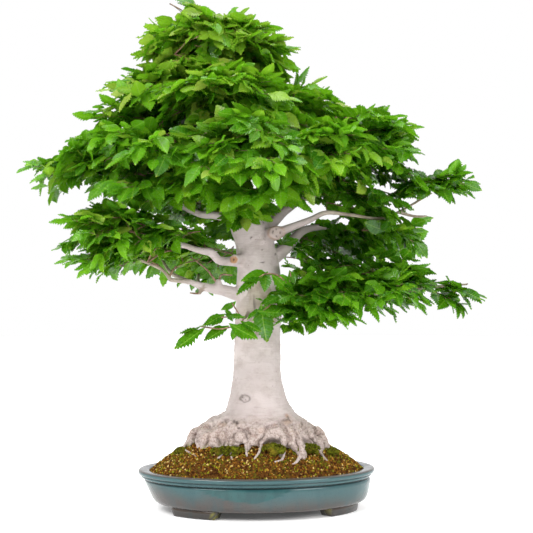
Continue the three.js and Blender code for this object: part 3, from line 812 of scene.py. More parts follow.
def paint_wood(mesh):
    """Sets how young, pitted, stained, mossy and root grey each point of the wood is.
    The pit value also holds painted shade in folds, hollows and creases.
    """
    points = points_of(mesh)
    height = points[:, 2]
    low = 1 - smooth_step(height, 120, 168)
    broad, fine = noise_at(points, 26, 5), noise_at(points, 6, 6)
    crease, eye, rim = crease_distance(points), eye_distance(points), spot_distance(points, *CALLUS)
    folds = 1 - smooth_step(np.abs(noise_at(points, 19, 8)), 0.0, 0.10)
    hollow = smooth_step(-noise_at(points, 12, 1) - 0.4 * noise_at(points, 30), 0.35, 0.7)
    # Real dark specks, spots and holes, plus painted shade in folds, hollows, creases and round the scar.
    pits = [
        np.maximum(0.6 * folds * smooth_step(broad, -0.3, 0.2), 0.55 * hollow) * low,
        smooth_step(fine, 0.62, 0.78) * smooth_step(noise_at(points, 40, 7), 0.15, 0.45) * 0.55,
        0.7 * bell(crease, 1.3) * smooth_step(noise_at(points, 11, 25), -0.5, 0.3),
        0.85 * on_spots(points, PITS, 0.6, 1.3),
        0.6 * bell(eye - 1, 0.2),
    ]
    stains = [
        smooth_step(broad, 0.1, 0.5) * low * 0.45,
        0.55 * bell(crease, 3.2) * smooth_step(noise_at(points, 16, 26), -0.2, 0.3),
        0.4 * bell(rim - 1.25, 0.2) + 0.12 * (rim < 1),
        0.9 * on_spots(points, [STUB], 0.8, 1.05),
        0.45 * on_spots(points, STAINS, 0.5, 1.4),
    ]
    near_soil = 1 - smooth_step(height - soil_height(points), 1, 8 + 4 * broad)
    set_values(
        mesh,
        young=1 - smooth_step(nearest_girth(points), 2.5, 6.5),
        pit=np.max(pits, axis=0),
        stain=np.max(stains, axis=0),
        moss=near_soil * smooth_step(fine + broad, -0.2, 0.35) * 0.6,
        root=0.8 * (1 - smooth_step(height, 136, 170)),
    )


def add_wood():
    mesh = wood_mesh()
    paint_wood(mesh)
    mesh.polygons.foreach_set("use_smooth", np.ones(len(mesh.polygons), bool))
    bark = bark_material()
    new_piece("trunk_and_branches_bark", mesh, bark, ["trunk_and_branches"])
    twigs = [limb_shape(knots, 4, 8) for knots in BARE_TWIGS]
    new_piece("bare_twigs", new_mesh("bare_twigs", joined(twigs)), twig_material())
    rootlets = new_mesh("rootlets", joined([limb_shape(knots, 3, 8) for knots in rootlet_routes()]))
    set_values(rootlets, root=np.full(len(rootlets.vertices), 0.7))
    new_piece("rootlets", rootlets, bark)


# Leaves and twigs.

# Share of the way from base to tip and width there, as a share of the widest.
LEAF_OUTLINE = [
    (0, 0.06), (0.05, 0.42), (0.12, 0.70), (0.25, 0.95), (0.38, 1.0), (0.52, 0.93), (0.66, 0.76),
    (0.78, 0.53), (0.88, 0.29), (0.95, 0.12), (1.0, 0.02),
]

# Ranges that each kind of leaf is drawn from, as shares of its length.
LEAF_WIDTHS = (0.54, 0.68)
LEAF_FOLDS = (-0.05, 0.28)
LEAF_CURLS = (-0.05, 0.2)
LEAF_WAVES = (0.03, 0.10)
LEAF_BENDS = (-0.2, 0.45)
LEAF_BASE_WIDTH = 0.014
LEAF_STALK = 0.14


def leaf_shape(teeth, seed):
    """A leaf one unit long with its base at the origin, its tip along +Y and its upper side up.
    Rows of points follow the side veins. Gives its points, faces and flat map within a tile."""
    rng = np.random.default_rng(seed)
    width = rng.uniform(*LEAF_WIDTHS)
    slope = 2 * VEIN_RISE / width
    heights, widths = np.array(LEAF_OUTLINE).T
    rows = 2 * teeth + 1
    notch = np.arange(rows) % 2 == 1
    starts = (np.arange(rows) - np.where(notch, 0.35, 0)) * 0.97 / (rows - 1)
    reach = np.zeros(rows)
    for _ in range(12):
        reach = blend(reach, np.interp(starts + slope * reach, heights, widths) * width / 2, 0.6)
    middle = np.sin(np.pi * np.linspace(0.06, 1, rows)) ** 0.5
    reach = np.maximum(reach * (1 + middle * np.where(notch, -0.13, 0.09)), 0.004)
    across = np.array([-1.0, 0.0, 1.0])
    x = np.vstack([across * LEAF_BASE_WIDTH, reach[:, None] * across])
    y = np.vstack([0 * across - LEAF_STALK, starts[:, None] + slope * np.abs(x[1:])])
    ridge = np.append(0.0, notch)[:, None]
    pleat = 0.065 * ridge * np.abs(across) ** 0.5
    fold, curl = rng.uniform(*LEAF_FOLDS), rng.uniform(*LEAF_CURLS)
    wave = rng.uniform(*LEAF_WAVES) * np.sin(2 * np.pi * (rng.uniform(1.2, 2.2) * y + rng.uniform()))
    z = pleat + fold * np.abs(x) - curl * across**2 * np.abs(x) + wave * np.abs(x) / width
    flat = np.stack([0.5 + 0.43 * x / (width / 2), np.clip(0.03 + 0.94 * y, 0.004, 0.985)], -1)
    twist = rng.normal(0, 0.35) * y
    x, z = x * np.cos(twist) - z * np.sin(twist), x * np.sin(twist) + z * np.cos(twist)
    bend = rng.uniform(*LEAF_BENDS)
    turn = bend * y
    y, z = np.sin(turn) / bend + z * np.sin(turn), (np.cos(turn) - 1) / bend + z * np.cos(turn)
    x = x + rng.normal(0, 0.05) * y**2
    points = np.stack([x, y, z], -1).reshape(-1, 3)
    columns = len(across)
    row, column = np.meshgrid(np.arange(rows) * columns, np.arange(columns - 1), indexing="ij")
    corner = (row + column).ravel()
    faces = np.stack([corner, corner + 1, corner + columns + 1, corner + columns], -1)
    return points, faces, flat.reshape(-1, 2)


# Leaves with all their veins and teeth, and plainer ones for where they can't be seen so well.
FINE_LEAVES = [leaf_shape(teeth=8, seed=seed) for seed in range(24)]
COARSE_LEAVES = [leaf_shape(teeth=4, seed=seed) for seed in range(40, 52)]

# The middle and half sizes of the space that each pad's leaves fill, as in the CAD model.
PAD_SHAPES = {
    "apex_centre": ((-78, 0, 801), (92, 120, 67)), "apex_left": ((-144, -7, 786), (74, 96, 66)),
    "apex_right": ((0, 0, 772), (74, 112, 70)), "shoulder_left": ((-204, 0, 704), (104, 135, 74)),
    "shoulder_front": ((-56, -125, 680), (128, 95, 80)),
    "shoulder_back": ((-40, 150, 687), (125, 95, 76)), "shoulder_right": ((100, 10, 676), (90, 112, 62)),
    "left_tip": ((-318, -14, 578), (87, 96, 54)), "left_front": ((-168, -120, 582), (134, 112, 84)),
    "left_back": ((-175, 144, 587), (129, 109, 76)), "left_middle": ((-240, -20, 628), (94, 150, 66)),
    "centre_front": ((-22, -190, 584), (112, 92, 80)), "centre_right": ((70, -95, 552), (60, 56, 42)),
    "right_front": ((116, -80, 604), (110, 135, 78)), "right_back": ((122, 155, 608), (127, 108, 74)),
    "right_outer": ((208, -14, 606), (92, 125, 88)), "right_tip": ((332, 2, 550), (52, 70, 36)),
    "right_inner": ((200, 0, 528), (116, 100, 46)), "right_middle": ((276, -2, 470), (50, 71, 40)),
    "right_inner_low": ((115, 80, 426), (85, 75, 42)), "centre_low": ((-26, -110, 515), (58, 50, 36)),
    "left_low": ((-268, -38, 462), (108, 128, 66)), "left_low_back": ((-172, 90, 434), (81, 96, 50)),
    "back_left": ((-120, 184, 520), (117, 93, 41)), "back_middle": ((-70, 132, 474), (60, 48, 40)),
    "back_low": ((-96, 186, 409), (83, 78, 36)), "back_right": ((196, 149, 464), (123, 96, 50)),
    "right_low": ((128, -72, 356), (98, 100, 62)), "right_low_outer": ((256, -40, 376), (92, 109, 52)),
    "right_low_tip": ((346, -7, 364), (38, 59, 28)), "right_low_back": ((204, 125, 374), (112, 82, 48)),
    "low_front": ((28, -105, 334), (44, 40, 38)), "low_spray": ((-60, -120, 308), (72, 44, 34)),
    "trunk_front": ((16, -105, 380), (50, 34, 30)),
}
PADS = sorted(PAD_SHAPES)


def pad_room(name):
    """The middle and half sizes of the ball that holds a pad's leaves. A pad is flatter below than above."""
    centre, half = (np.array(values, float) for values in PAD_SHAPES[name])
    return centre + [0, 0, half[2] * 0.125], half * [1, 1, 0.875]


PAD_ROOMS = {name: pad_room(name) for name in PADS}
# Fans of leaves: how far inside their pad's ball they end, how many there are, how far apart they
# lie, how many places are tried and how long they grow.
TIP_ROOM = np.array([25.0, 23.0, 7.0])
FANS = 385
FAN_SPACING = 33
FAN_TRIES = 60000
FAN_LENGTHS = (85, 125)
# A fan is buried when it lies under the first level of another pad. Its leaves are made in detail
# when it lies over the second level of all others and no further back than the depth.
BURIED_LEVEL = 0.86
SHOWN_LEVEL = 0.9
SHOWN_DEPTH = 40
# Radii of a fan's twig and of its shoots at base and tip, and where along the twig the shoots stand.
TWIG_RADII = (1.1, 0.5)
SHOOT_RADII = (0.65, 0.42)
SHOOT_SHARES = np.arange(0.28, 0.9, 0.13)
# How far apart leaves stand along a shoot.
LEAF_SPACINGS = (9, 12.5)
# How far apart the points of thin branches lie that lead to the fans.
TWIG_STEP = 22

# Pads with fewer leaves, where light comes through: how much wider their fans are spaced.
SPARSE_PADS = {
    "right_middle": 1.4, "right_inner_low": 1.4, "back_right": 1.3, "right_low_back": 1.3,
    "left_low_back": 1.15,
}

# Fans that are placed first, where the outline needs them, by pad.
FIRST_TIPS = {
    "left_tip": [(-376, -34, 592), (-366, 16, 578), (-352, -56, 560)],
    "right_tip": [(296, -34, 556), (354, -6, 562), (334, -24, 548), (322, 20, 566)],
    "right_low_tip": [(342, -26, 378), (344, 8, 356)],
    "right_outer": [(272, -50, 572), (262, -10, 622)],
    "shoulder_left": [(-196, -24, 752), (-224, 10, 728), (-250, -30, 690)],
    "apex_left": [(-172, -30, 786)],
}

# The crown's outline as seen from the front: height, and x at the left and at the right.
OUTLINE = [
    (290, -150, 140), (334, -150, 200), (350, -150, 345), (380, -170, 370), (401, -259, 366),
    (420, -326, 315), (460, -352, 292), (511, -345, 311), (530, -350, 345), (550, -366, 368),
    (593, -400, 368), (608, -395, 320), (630, -345, 300), (662, -317, 290), (690, -300, 252),
    (717, -283, 166), (745, -262, 90), (772, -240, 60), (813, -210, 66), (840, -178, 25), (868, -160, 0),
]
# How far inside the outline a fan ends at the left and at the right, and the heights about its tip
# where that is tested.
OUTLINE_MARGINS = (13, 15)
FAN_LEVELS = np.array([-12, 0, 14])
LEAF_LENGTHS = (26, 42)
# How much the leaves' tones vary, and the yellowest one.
TONE_SPREAD = 0.19
YELLOWEST = 0.94

# The few leaves in front of the lower trunk: how far forward they hang, and for each the x and
# the height of its base and of its tip.
FRONT_LEAVES = {
    "low_spray": [
        (-120, [
            (-87, 318, -124, 303), (-90, 310, -132, 279), (-56, 334, -88, 317), (-56, 329, -72, 315),
            (-50, 314, -85, 292), (-22, 332, -53, 333), (-40, 327, -50, 346), (-32, 314, -39, 293),
            (-39, 318, 1, 294), (-32, 310, -22, 295), (-22, 323, 7, 306),
        ]),
        (-96, [(-40, 352, -59, 342), (-36, 355, -48, 341)]),
    ],
    "trunk_front": [
        (-105, [
            (19, 400, -25, 391), (6, 395, -32, 368), (17, 402, 11, 373), (29, 398, 61, 367),
            (52, 379, 31, 368), (55, 405, 63, 385),
        ]),
    ],
    "low_front": [
        (-105, [
            (9, 340, 63, 334), (8, 343, 15, 290), (34, 364, 7, 350), (12, 356, -1, 361),
            (7, 341, -17, 331),
        ]),
    ],
}
FRONT_TWIGS = {
    "low_spray": [
        [(-22, -96, 328), (-26, -112, 331), (-40, -118, 332), (-57, -120, 331)],
        [(-22, -96, 328), (-27, -112, 315), (-42, -118, 315), (-60, -120, 312), (-90, -120, 316)],
        [(-26, -112, 331), (-34, -106, 344), (-40, -96, 353)],
    ],
    "trunk_front": [
        [(50, -98, 362), (52, -104, 382), (34, -106, 400), (15, -106, 402), (4, -104, 396)],
        [(52, -104, 382), (56, -104, 394), (55, -105, 405)],
    ],
    "low_front": [[(50, -98, 362), (34, -104, 362), (17, -106, 346), (6, -106, 339)]],
}


def trunk_axis(height):
    heights, x, y = np.array(TRUNK_RINGS)[:, :3].T
    return np.stack([np.interp(height, heights, x), np.interp(height, heights, y)], -1)


def depth_in_others(points, name):
    """The lowest ellipsoid level of each point among the other pads: under 1 is inside one."""
    levels = [
        np.linalg.norm((points - centre) / half, axis=1)
        for other, (centre, half) in PAD_ROOMS.items()
        if other != name
    ]
    return np.min(levels, axis=0)


def fits_outline(tip):
    """Whether a fan that ends here stays within the crown's outline as seen from the camera."""
    heights, left, right = np.array(OUTLINE).T
    share = CAMERA_PLACE[1] / (CAMERA_PLACE[1] - tip[1])
    x = CAMERA_PLACE[0] + (tip[0] - CAMERA_PLACE[0]) * share
    levels = CAMERA_PLACE[2] + (tip[2] - CAMERA_PLACE[2]) * share + FAN_LEVELS
    left_edge = np.interp(levels, heights, left) + OUTLINE_MARGINS[0]
    right_edge = np.interp(levels, heights, right) - OUTLINE_MARGINS[1]
    return np.all(x > left_edge) and np.all(x < right_edge)


def fan_tips():
    """Where the leaf fans end, which way the crown's outside faces there, and each one's pad.
    Most lie evenly over the outside of the pads, the rest inside."""
    rng = np.random.default_rng(5)
    areas = np.array([np.prod(half) ** (2 / 3) for _, half in PAD_ROOMS.values()])
    chosen = []
    for name, tips in FIRST_TIPS.items():
        centre, half = PAD_ROOMS[name]
        chosen += [(np.array(tip, float), unit((tip - centre) / half**2), name) for tip in tips]
    places = np.array([tip for tip, _, _ in chosen])
    tries = 0
    while len(chosen) < FANS and tries < FAN_TRIES:
        tries += 1
        name = PADS[rng.choice(len(PADS), p=areas / areas.sum())]
        if name in FRONT_LEAVES:
            continue
        centre, half = PAD_ROOMS[name]
        ball = unit(rng.normal(size=3))
        inner = len(chosen) % 4 == 3
        level = rng.uniform(0.2, 0.8) if inner else 1 - abs(rng.normal(0, 0.05))
        tip = centre + ball * np.maximum(half - TIP_ROOM, 10) * level
        if not inner and depth_in_others(tip[None], name)[0] < BURIED_LEVEL:
            continue
        if ball[2] < -0.6 and tip[2] < 640 and rng.random() < 0.5:
            continue
        if not fits_outline(tip):
            continue
        away = np.linalg.norm((places - tip) * [1, 1, 1.5], axis=1).min()
        if away < FAN_SPACING * SPARSE_PADS.get(name, 1) * (1 - tries / (1.5 * FAN_TRIES)):
            continue
        chosen.append((tip, unit(ball / half), name))
        places = np.vstack([places, tip])
    return chosen


def turned_about(vector, axis, angle):
    along = axis * (axis @ vector)
    return along + (vector - along) * math.cos(angle) + np.cross(axis, vector) * math.sin(angle)


def steered(ahead, aside, angle):
    """A direction that is turned by an angle from one direction towards another, square to it."""
    return math.cos(angle) * ahead + math.sin(angle) * aside


def leaf_at(spot, heading, upper, rng):
    """A leaf: its base, direction, upper side and length. It lies about square to the upper direction."""
    face = unit(upper + rng.normal(0, 0.26, 3))
    heading = unit(heading - face * (heading @ face) + rng.normal(0, 0.08, 3) - UP * rng.uniform(0, 0.2))
    face = unit(face - heading * (face @ heading))
    return spot, heading, face, rng.uniform(*LEAF_LENGTHS)


def front_leaf(forward, x, height, tip_x, tip_height, rng):
    """A leaf given by its base and tip as seen from the front. Its upper side faces up and to the front."""
    base = np.array([x, forward + rng.uniform(-6, 6), height])
    tip = np.array([tip_x, base[1] - rng.uniform(4, 9), tip_height])
    heading = unit(tip - base)
    leaning = blend(0.3, 0.75, smooth_step(x, -84, -60))
    upper = np.array([0, -leaning, 1]) + rng.normal(0, 0.12, 3)
    upper = unit(upper - heading * (heading @ upper))
    return base, heading, upper, np.linalg.norm(tip - base) * 1.04


def leafy_shoot(base, direction, plane, upper, length, rng):
    """A straight side shoot with leaves to the left and right in turn and one at its tip."""
    sideways = np.cross(direction, plane)
    count = max(2, round(length / rng.uniform(*LEAF_SPACINGS)))
    side = rng.choice([-1, 1])
    leaves = []
    for i in range(count):
        spot = base + direction * length * (i + 0.7) / count
        spread = side * rng.uniform(0.5, 1.15)
        side = -side
        leaves.append(leaf_at(spot, steered(direction, sideways, spread), upper, rng))
    leaves.append(leaf_at(base + direction * length, unit(direction + rng.normal(0, 0.15, 3)), upper, rng))
    return leaves


def grow_fan(tip, facing, half, rng):
    """A flat fan of leafy shoots on one arching twig: twigs as routes with end radii, and leaves."""
    out = unit(np.append(tip[:2] - trunk_axis(tip[2]), 0))
    steep = float(smooth_step(1 - facing[2], 0.15, 1.1))
    level = unit((out + 0.5 * unit(facing * [1, 1, 0]) + rng.normal(0, 0.3, 3)) * [1, 1, 0])
    pitch = blend(0.24, -0.22, steep) + rng.normal(0, 0.16)
    direction = steered(level, UP, pitch)
    tilt = steep * blend(0.25, 0.8, abs(out[1])) * rng.uniform(0.6, 1.3)
    length = min(rng.uniform(*FAN_LENGTHS), 1.5 * min(half[:2]))
    shares = np.linspace(0, 1, 7)[:, None]
    axis = tip - direction * length * (1 - shares) - UP * 0.16 * length * (shares**2 - 0.4 * shares)
    axis += np.cross(direction, UP) * length * rng.normal(0, 0.08) * shares**2
    sideways = turned_about(unit(np.cross(direction, UP)), direction, rng.normal(0, 0.22))
    plane = unit(np.cross(sideways, direction))
    upper = unit(plane + tilt * out)
    twigs = [(axis, *TWIG_RADII)]
    leaves = []
    side = rng.choice([-1, 1])
    for share in SHOOT_SHARES + rng.normal(0, 0.02, len(SHOOT_SHARES)):
        base = np.array([np.interp(share, shares[:, 0], axis[:, k]) for k in range(3)])
        spread = side * rng.uniform(0.7, 1.0)
        way = unit(steered(direction, sideways, spread) + rng.normal(0, 0.12, 3))
        reach = length * (0.5 * (1 - share) + 0.16) * rng.uniform(0.85, 1.15)
        shoot = np.array([base, base + way * reach * 0.5 + plane * reach * 0.03, base + way * reach])
        twigs.append((shoot, *SHOOT_RADII))
        leaves += leafy_shoot(base, way, plane, upper, reach, rng)
        leaves.append(leaf_at(base, steered(direction, sideways, -spread), upper, rng))
        side = -side
    leaves.append(leaf_at(axis[-1], direction, upper, rng))
    return twigs, leaves


def tone_and_painted_shade_of(spots):
    """How yellow leaves are, from 0 to 1: most at the top, less low down, at the right and behind, and
    least where they hang in front of the trunk. The yellow at the top is the leaves' own colour, and
    the darker greens low down, at the right, behind and in front of the trunk are painted shade."""
    high = smooth_step(spots[:, 2], 560, 840)
    shaded = smooth_step(spots[:, 0] + spots[:, 1], 0, 260)
    low = 1 - smooth_step(spots[:, 2], 360, 440)
    before = 1 - smooth_step(spots[:, 1], -100, -80)
    hanging = low * before * (1 - smooth_step(np.abs(spots[:, 0]), 100, 125))
    return 0.45 + 0.3 * high - 0.25 * shaded - 0.12 * low - 0.4 * hanging


def leaves_shape(leaves, templates, rng):
    """Leaves as one shape, each a copy of one of the templates, and its flat map."""
    kinds = rng.integers(len(templates), size=len(leaves))
    shapes, maps = [], []
    for kind, (points, faces, flat) in enumerate(templates):
        chosen = [leaf for leaf, leaf_kind in zip(leaves, kinds) if leaf_kind == kind]
        if not chosen:
            continue
        spots, headings, uppers, sizes = (np.array(column, float) for column in zip(*chosen))
        sides = np.cross(headings, uppers)
        frames = np.stack([sides, headings, uppers], 1) * sizes[:, None, None]
        placed = spots[:, None] + np.einsum("pk,nkj->npj", points, frames)
        # Each leaf's tile: its own tint at random, darkened as painted shade low down, at the right, behind
        # and in front of the trunk.
        tone = np.clip(rng.normal(tone_and_painted_shade_of(spots), TONE_SPREAD), 0, YELLOWEST) * LEAF_TILES**2
        tiles = np.stack([tone % LEAF_TILES, tone // LEAF_TILES], -1).astype(int)[:, None]
        offsets = np.arange(len(chosen))[:, None, None] * len(points)
        shapes.append((placed.reshape(-1, 3), [(faces + offsets).reshape(-1, 4)]))
        maps.append(((flat + tiles) / LEAF_TILES).reshape(-1, 2))
    return joined(shapes), np.vstack(maps)


def limb_points():
    return np.vstack([smooth_route(knots, 8) for knots in BRANCHES])


def twig_tree(name, bases, limbs):
    """Thin branches from the nearest limb to each shoot's base, each from the nearest wood so far.
    Gives their points, for each the number of the point before it or -1, and the last point at each base."""
    centre, half = PAD_ROOMS[name]
    level = np.linalg.norm((limbs[:, :3] - centre) / (half + 12), axis=1)
    start = limbs[level < 1.0] if (level < 1.0).any() else limbs[[np.argmin(level)]]
    places = [row[:3] for row in start]
    parents = [-1] * len(places)
    origin = places[int(np.argmax(start[:, 3]))]
    ends = []
    for i in np.argsort(np.linalg.norm(bases - origin, axis=1)):
        known = np.array(places)
        away = np.linalg.norm(known - bases[i], axis=1) + 0.25 * np.linalg.norm(known - origin, axis=1)
        previous = int(np.argmin(away))
        host = known[previous]
        span = bases[i] - host
        reach = np.linalg.norm(span)
        pieces = max(1, int(reach // TWIG_STEP))
        for share in (k / pieces for k in range(1, pieces + 1)):
            lift = UP * reach * 0.10 * math.sin(math.pi * share)
            places.append(host + span * share + lift)
            parents.append(previous)
            previous = len(places) - 1
        ends.append(previous)
    return places, parents, ends


def grow_twigs(name, bases, limbs):
    """The twigs of a pad as tubes, thicker where they carry more."""
    places, parents, ends = twig_tree(name, bases, limbs)
    carried = np.zeros(len(places))
    for spot in ends:
        while spot >= 0:
            carried[spot] += 1
            spot = parents[spot]
    radii = 0.62 * np.maximum(carried, 1) ** 0.36
    tubes = []
    for i, parent in enumerate(parents):
        if parent < 0:
            continue
        grand = parents[parent]
        first = places[grand] if grand >= 0 else places[parent] - (places[i] - places[parent])
        start = min(radii[parent], radii[i] * 1.25) if grand >= 0 else radii[i] * 1.25
        middle = (places[parent] + places[i]) / 2 + (places[parent] - first) * 0.06
        run = np.array([places[parent], middle, places[i]])
        tubes.append(tube(run, [start, (start + radii[i]) / 2, radii[i]], 5))
    return tubes


def pad_growth(name, tips, limbs, rng):
    """A pad's leaves, those to be made in detail and those behind, and its twigs as tubes."""
    if name in FRONT_LEAVES:
        fine = [front_leaf(forward, *ends, rng) for forward, rows in FRONT_LEAVES[name] for ends in rows]
        tubes = [limb_shape([(*knot, 1.2) for knot in knots], 4, 6) for knots in FRONT_TWIGS[name]]
        return fine, [], tubes
    fine, coarse, tubes, bases = [], [], [], []
    for tip, facing, owner in tips:
        if owner != name:
            continue
        twigs, leaves = grow_fan(tip, facing, PAD_ROOMS[name][1], rng)
        shown = tip[1] < SHOWN_DEPTH and depth_in_others(tip[None], name)[0] > SHOWN_LEVEL
        (fine if shown else coarse).extend(leaves)
        tubes += [tube(route, np.linspace(start, end, len(route)), 4) for route, start, end in twigs]
        bases.append(twigs[0][0][0])
    return fine, coarse, tubes + grow_twigs(name, np.array(bases), limbs)


def add_foliage():
    leaf, twig = leaf_material(), twig_material()
    limbs, tips = limb_points(), fan_tips()
    for index, name in enumerate(PADS):
        rng = np.random.default_rng(100 + index)
        fine, coarse, tubes = pad_growth(name, tips, limbs, rng)
        groups = ((fine, FINE_LEAVES), (coarse, COARSE_LEAVES))
        parts = [leaves_shape(group, kinds, rng) for group, kinds in groups if group]
        mesh = new_mesh(f"foliage_{name}_leaves", joined([part for part, _ in parts]))
        set_map(mesh, np.vstack([flat for _, flat in parts]))
        new_piece("leaves_" + name, mesh, leaf, ["foliage_" + name])
        new_piece("twigs_" + name, new_mesh("twigs_" + name, joined(tubes)), twig)


# Pot.

POT_TURN = math.radians(7)
POT_SIDES = 120
# How much narrower than long the oval is on each side, and how much of that is missing low on the
# walls, between the groove and the feet.
NARROWING = 55
LOW_FULLNESS = 15
GROOVE_HEIGHT = 53
FOOT_HEIGHT = 13
# Where round the oval the feet stand and how long each is, in degrees, then where each is on the
# oval's half length and how deep it is.
FOOT_ANGLES = (-135.5, -36.5, 44.5, 135.5)
FOOT_SPAN = 32
FOOT_OUTER = 173
FOOT_DEPTH = 22
FOOT_STEPS = 18
# Height, how much wider the foot is there in degrees, and how much thicker on each side.
FOOT_LEVELS = [(0, -1.6, -0.6), (1.0, -1.2, 0.6), (9.5, 0.2, 1.6), (12.0, 0.6, 1.4), (17.0, 0.6, -1.0)]
# How far the low parts lie to the right of the rim, and how much more the right end bulges.
LOW_SHIFT = 4.0
RIGHT_BULGE = 4.0


def half_width_at(half_length, height):
    """Half width of the oval of a half length. The long walls are steeper than the ends."""
    half_length = np.asarray(half_length, float)
    fuller = LOW_FULLNESS * np.clip((GROOVE_HEIGHT - height) / (GROOVE_HEIGHT - FOOT_HEIGHT), 0, 1)
    return np.where(half_length > 2 * NARROWING, half_length - NARROWING + fuller, half_length / 2)


def turned_with_pot(points):
    cosine, sine = math.cos(POT_TURN), math.sin(POT_TURN)
    x, y = points[..., 0], points[..., 1]
    return np.stack([x * cosine - y * sine, x * sine + y * cosine, points[..., 2]], -1)


def turned_back(points):
    return turned_with_pot(points * [1, -1, 1]) * [1, -1, 1]


def pot_oval(angles, half_length, height, width_height):
    """Points on the pot's oval of a half length, as wide as it is at a given height."""
    half_width = half_width_at(half_length, width_height)
    return turned_with_pot(oval(angles, half_length, half_width, height))


def oval_rings(profile, sides):
    """Rings of points round the pot's oval from [half length, height] pairs."""
    return [pot_oval(round_angles(sides), half_length, height, height) for half_length, height in profile]


# Heights of the rim's edge, of the seam and the groove under it, and of the edge low on the wall.
RIM_EDGE = 68.8
SEAM = 60.4
GROOVE_MIDDLE = 53.2
LOW_EDGE = 12.9

# How far apart the wall's rings lie along its profile, at most.
PROFILE_STEP = 3.2

# Half length and height along the pot's outside and over the rim to its inside.
POT_PROFILE = [
    (2, 12), (150, 12), (164, 12.2), (171, 12.8), (175.5, 14.2), (179.0, 16.6), (181.6, 20), (183.6, 24),
    (185.4, 28.5), (187.2, 33.5), (189.0, 39), (190.8, 44.5), (192.4, 49.5), (192.8, 51.3), (192.2, 52.4),
    (191.4, 53.2), (191.6, 54.0), (193.4, 54.6), (195.8, 55.4), (197.6, 56.6), (198.4, 58.2),
    (198.0, 59.6), (197.2, 60.3), (198.2, 60.8), (200.6, 61.2), (202.4, 62.4), (203.3, 64.4),
    (203.2, 66.6), (202.3, 68.2), (200.6, 69.2), (197.0, 69.4), (192.0, 69.0), (188.0, 68.7),
    (185.6, 68.4), (184.4, 67.4), (183.6, 65.6), (180.5, 48.0), (177.5, 33.0), (175.5, 25.5),
    (170.5, 20.8), (164.0, 20.0), (2, 20),
]


def foot_shape(middle_angle):
    """A bracket foot that follows the oval, with slanted ends."""
    rows = []
    for height, spread, swell in FOOT_LEVELS:
        half = FOOT_SPAN / 2 + spread
        angles = np.radians(middle_angle + np.linspace(-half, half, FOOT_STEPS))
        outer, inner = FOOT_OUTER + swell, FOOT_OUTER - FOOT_DEPTH - swell
        there, back = (pot_oval(angles, length, height, 0) for length in (outer, inner))
        rows.append(np.vstack([there, back[::-1]]))
    return lathe(rows)


def pot_shape():
    """Wall, rim and inside of the pot as one skin, and its feet."""
    profile = np.array(POT_PROFILE, float)
    fine = [profile[:1]]
    for start, end in zip(profile, profile[1:]):
        pieces = max(1, round(np.linalg.norm(end - start) / PROFILE_STEP)) if 12 < start[1] < 66 else 1
        fine.append(blend(start, end, np.linspace(0, 1, pieces + 1)[1:, None]))
    rings = oval_rings(np.vstack(fine), POT_SIDES)
    for ring in rings:
        bulge = RIGHT_BULGE * np.clip(ring[:, 0] / 180, 0, 1) ** 2 * (1 - smooth_step(ring[:, 2], 46, 57))
        ring[:, 0] += LOW_SHIFT * (1 - smooth_step(ring[:, 2], 12, 56)) + bulge
    feet = [foot_shape(angle) for angle in FOOT_ANGLES]
    for points, _ in feet:
        points[:, 0] += LOW_SHIFT
    return joined([lathe(rings), *feet])


def paint_pot(mesh):
    """Sets where the rim is flat, where edges are worn, where a reflection and the shade in the groove are
    painted, and where glaze has run off.
    """
    points = points_of(mesh)
    height, half_length = points[:, 2], oval_place(points)
    outside = smooth_step(half_length, 186, 188)
    seam = bell(height - SEAM, 0.5)
    edges = [
        bell(height - RIM_EDGE, 0.9) * smooth_step(half_length, 199, 201.5) * 0.9,
        bell(height - LOW_EDGE, 0.9) * smooth_step(half_length, 165, 170) * 0.8,
        seam * 0.3 * outside,
    ]
    angle = np.arctan2(points[:, 1], points[:, 0] * 0.75)
    reach = np.where(points[:, 1] < 0, (points[:, 0] + 12) / 78, (points[:, 0] - 10) / 90)
    limit = 27 + 3.5 * np.sin(3 * angle) + 24 * reach**2 + 3 * noise_at(points, 50, 15)
    set_values(
        mesh,
        flat=smooth_step(height, 67.6, 68.8) * (1 - smooth_step(half_length, 200, 202)),
        edge=np.clip(np.max(edges, axis=0) * (1 + 0.5 * noise_at(points, 22, 9)), 0, 1),
        # Painted shade in the groove and along the seam.
        groove=np.maximum(bell(height - GROOVE_MIDDLE, 0.9), 0.15 * seam) * outside,
        # A painted reflection: a darker band on the wall from a wavy line up to the groove.
        pool=smooth_step(height - limit, -0.8, 0.8) * (height < GROOVE_HEIGHT),
        bare=foot_ends(points),
    )


def add_pot():
    mesh = new_mesh("pot_glazed", pot_shape())
    paint_pot(mesh)
    new_piece("pot_glazed", mesh, glaze_material(), ["pot"])


def oval_place(points):
    """The half length of the pot's oval on which each point lies."""
    unturned = turned_back(points)
    half_lengths = np.linspace(2, 210, 240)
    half_widths = half_width_at(half_lengths, points[:, 2, None])
    levels = (unturned[:, 0, None] / half_lengths) ** 2 + (unturned[:, 1, None] / half_widths) ** 2
    return np.array([np.interp(-1, -row, half_lengths) for row in levels])


def foot_ends(points):
    """1 on the inner ends of the feet, where the glaze has run off to yellow green."""
    unturned = turned_back(points)
    share = np.degrees(np.arctan2(unturned[:, 1] / half_width_at(FOOT_OUTER, 0), unturned[:, 0] / FOOT_OUTER))
    sides = [math.copysign(1, math.sin(math.radians(2 * angle))) for angle in FOOT_ANGLES]
    ends = [angle + FOOT_SPAN / 2 * side for angle, side in zip(FOOT_ANGLES, sides)]
    near = np.min([np.abs(share - end) for end in ends], axis=0)
    return (1 - smooth_step(near, 0.2, 0.9)) * (1 - smooth_step(points[:, 2], 11, 13))


# Soil and moss.

